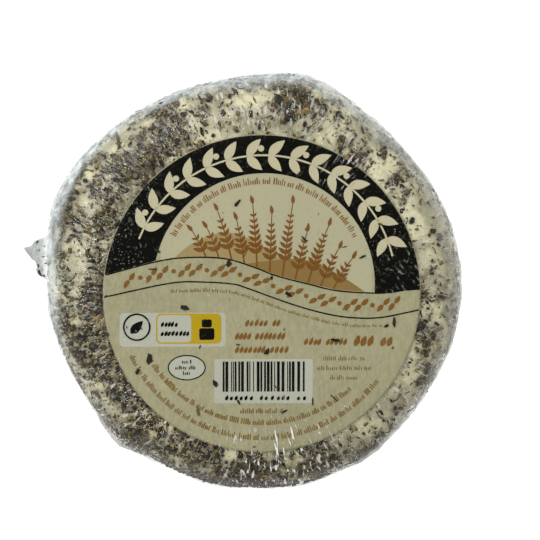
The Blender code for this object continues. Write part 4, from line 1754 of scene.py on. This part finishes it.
# %% Film material
# Milk colour by tone: 0 the ear's grey, 0.15 painted light on the lit side, 1 painted shade.
MILK_LIGHT_AND_SHADE_STOPS = (
    (0.0, (0.38, 0.42, 0.39)),
    (0.15, (0.73, 0.80, 0.81)),
    (0.5, (0.50, 0.490, 0.41)),
    (1.0, (0.15, 0.155, 0.145)),
)
# White of the painted highlights on pleats, stretch marks and blisters.
GLINT_WHITE = (0.96, 0.96, 0.93)


def film_material():
    made, tree, shader = new_material("clear_film")
    place = object_coordinates(tree)
    cling = place_group(tree, CLING, place, Scale=640.0)
    creases = times(tree, cling.outputs["Creases"], attribute_value(tree, "ring"))
    blisters = times(tree, cling.outputs["Blisters"], attribute_value(tree, "blistered"))
    pleats = place_group(tree, PLEATS, place, Width=0.75 * MM, Length=3.6 * MM).outputs["Mask"]
    pleats = times(tree, pleats, attribute_value(tree, "pleated"))
    height = plus(tree, times(tree, creases, 0.85), times(tree, blisters, 0.5))
    height = plus(tree, height, times(tree, pleats, 1.5))
    for (x, y), degrees, length, width, spacing in STRETCHES:
        numbers = {"X": x * MM, "Y": y * MM, "Turn": math.radians(degrees)}
        numbers.update({"Length": length * MM, "Width": width * MM, "Spacing": spacing * MM})
        marks = place_group(tree, STRETCH, place, **numbers).outputs["Height"]
        height = plus(tree, height, times(tree, marks, 1.25))
        # The stretch marks' crests also join the painted highlights.
        pleats = plus(tree, pleats, times(tree, marks, 0.35))

    # The clear part: see-through, with a mirror by Fresnel.
    clear = tree.nodes.new("ShaderNodeBsdfTransparent").outputs["BSDF"]
    mirror = tree.nodes.new("ShaderNodeBsdfGlossy")
    mirror.inputs["Roughness"].default_value = 0.15
    bump_node(tree, height, 1.0, 0.10 * MM, mirror)
    fresnel = tree.nodes.new("ShaderNodeFresnel")
    fresnel.inputs["IOR"].default_value = 1.5
    shine = math_node(tree, "MINIMUM", times(tree, fresnel.outputs["Fac"], 0.72), 0.09)
    thin = mix_shaders(tree, shine, clear, mirror.outputs["BSDF"])

    # The milky part: haze, partly a painted reflection, and painted highlights: white crests on
    # pleats, stretch marks and blisters.
    cloud = map_range(tree, noise_node(tree, place, 330.0, 5.0, 0.65, 0.6), 0.35, 0.68, 0.45, 1.3)
    # Haze grows where one looks along the film: partly a painted reflection of the bright tent.
    facing = tree.nodes.new("ShaderNodeLayerWeight").outputs["Facing"]
    cloud = times(tree, cloud, map_range(tree, facing, 0.30, 0.80, 0.55, 1.15))
    haze_and_reflection = times(tree, attribute_value(tree, "haze_and_reflection"), cloud)
    # Painted highlights: pleats, stretch marks and blisters painted white for their glints.
    painted_glints = plus(tree, times(tree, pleats, 0.95), times(tree, blisters, 0.65))
    # The milk's colour carries the painted light and shade of the side.
    milk = colour_ramp(tree, attribute_value(tree, "painted_light_tone"), MILK_LIGHT_AND_SHADE_STOPS)
    feed(tree, mix_colours(tree, painted_glints, milk, GLINT_WHITE), shader.inputs["Base Color"])
    shader.inputs["Roughness"].default_value = 0.35
    bump_node(tree, height, 1.0, 0.06 * MM, shader)
    share = math_node(tree, "MINIMUM", plus(tree, haze_and_reflection, painted_glints), 0.85)
    film_look = mix_shaders(tree, share, thin, shader.outputs["BSDF"])
    feed(tree, film_look, tree.nodes["Material Output"].inputs["Surface"])
    return made


film.data.materials.append(film_material())
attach(film, "root")
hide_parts("film", "film_seal")

# %% [markdown]
# ## Floor, light and camera
#
# The cheese lies on a plain white floor inside a light tent. The tent is the sky: dark overhead,
# where the camera looks in, so that the flat film over the label mirrors nothing and the black stays
# black, and bright all round, so that the film pales where the sides fall away. A large soft box to
# the upper left gives the light a direction, and small bright lamps give the film its sharp glints.

# %% Floor and sky
FLOOR_SIZE = 6.0
corners = np.array([[-1, -1, 0], [1, -1, 0], [1, 1, 0], [-1, 1, 0]]) * FLOOR_SIZE / 2
floor = new_piece("floor", corners, [(0, 1, 2, 3)], False)
floor_look, _, floor_shader = new_material("white_floor")
floor_shader.inputs["Base Color"].default_value = (0.3, 0.3, 0.3, 1.0)
floor_shader.inputs["Roughness"].default_value = 0.9
floor_shader.inputs["Emission Color"].default_value = (1.0, 1.0, 1.0, 1.0)
floor_shader.inputs["Emission Strength"].default_value = 0.93
floor.data.materials.append(floor_look)

SKY_STOPS = ((0.0, 0.44), (0.30, 0.40), (0.60, 0.28), (0.80, 0.08), (1.0, 0.02))
world = bpy.data.worlds.new("studio")
bpy.context.scene.world = world
world.use_nodes = True
sky = world.node_tree
direction = sky.nodes.new("ShaderNodeTexCoord").outputs["Generated"]
upward = sky.nodes.new("ShaderNodeSeparateXYZ")
sky.links.new(direction, upward.inputs["Vector"])
SKY_TINT = np.array([0.98, 1.0, 0.86])
stops = [(place, tuple(level * SKY_TINT)) for place, level in SKY_STOPS]
feed(sky, colour_ramp(sky, upward.outputs["Z"], stops), sky.nodes["Background"].inputs["Color"])

# %% Lamps
# Name, place, width and length of the lamp, and power in watts.
LAMPS = (
    ("key", (-0.52, 0.48, 0.60), (0.50, 0.50), 3.95),
    ("strip_left", (-0.30, 0.04, 0.44), (0.05, 0.13), 0.56),
    ("strip_above", (-0.04, 0.31, 0.44), (0.13, 0.05), 0.42),
    ("strip_upper_right", (0.22, 0.24, 0.42), (0.08, 0.08), 0.31),
    ("strip_right", (0.31, -0.02, 0.42), (0.05, 0.12), 0.31),
    ("strip_below", (0.06, -0.31, 0.42), (0.12, 0.045), 0.24),
    ("strip_lower_left", (-0.23, -0.23, 0.42), (0.07, 0.08), 0.24),
)


def aim(thing, target):
    """Turns a lamp or camera to look at a place, with its top towards +Y: three axes square to each other."""
    back = np.array(thing.location) - np.array(target)
    back /= np.linalg.norm(back)
    right = np.cross((0, 1, 0), back)
    right /= np.linalg.norm(right)
    thing.rotation_euler = Matrix(np.column_stack([right, np.cross(back, right), back]).tolist()).to_euler()


for name, place, (width, length), power in LAMPS:
    lamp = bpy.data.objects.new(name, bpy.data.lights.new(name, "AREA"))
    lamp.data.shape = "RECTANGLE"
    lamp.data.size, lamp.data.size_y, lamp.data.energy = width, length, power
    lamp.location = place
    lamp.visible_camera = False
    bpy.context.scene.collection.objects.link(lamp)
    aim(lamp, (0, 0, MIDDLE))

# %% Camera
# The photograph looks almost straight down, from a little to the upper left.
PHOTO_SIDE = 540
MM_PER_PIXEL = 0.2415
CAMERA_DISTANCE = 1.2
TILT = 4.0
TILT_DIRECTION = 135
# The middle of the picture, in millimetres right of and above the cheese's middle.
PICTURE_MIDDLE = ((PHOTO_SIDE / 2 - 253.0) * MM_PER_PIXEL, (281.5 - PHOTO_SIDE / 2) * MM_PER_PIXEL)

lens = bpy.data.cameras.new("camera")
camera = bpy.data.objects.new("camera", lens)
bpy.context.scene.collection.objects.link(camera)
lens.sensor_width = 36.0
lens.lens = lens.sensor_width * CAMERA_DISTANCE / (PHOTO_SIDE * MM_PER_PIXEL * MM)
tilt, turn = math.radians(TILT), math.radians(TILT_DIRECTION)
target = np.array([PICTURE_MIDDLE[0] * MM, PICTURE_MIDDLE[1] * MM, MIDDLE])
back = np.array([math.sin(tilt) * math.cos(turn), math.sin(tilt) * math.sin(turn), math.cos(tilt)])
camera.location = target + back * CAMERA_DISTANCE
aim(camera, target)
bpy.context.scene.camera = camera
bpy.context.scene.view_settings.view_transform = "Standard"
print("lens", round(lens.lens, 1), "mm")
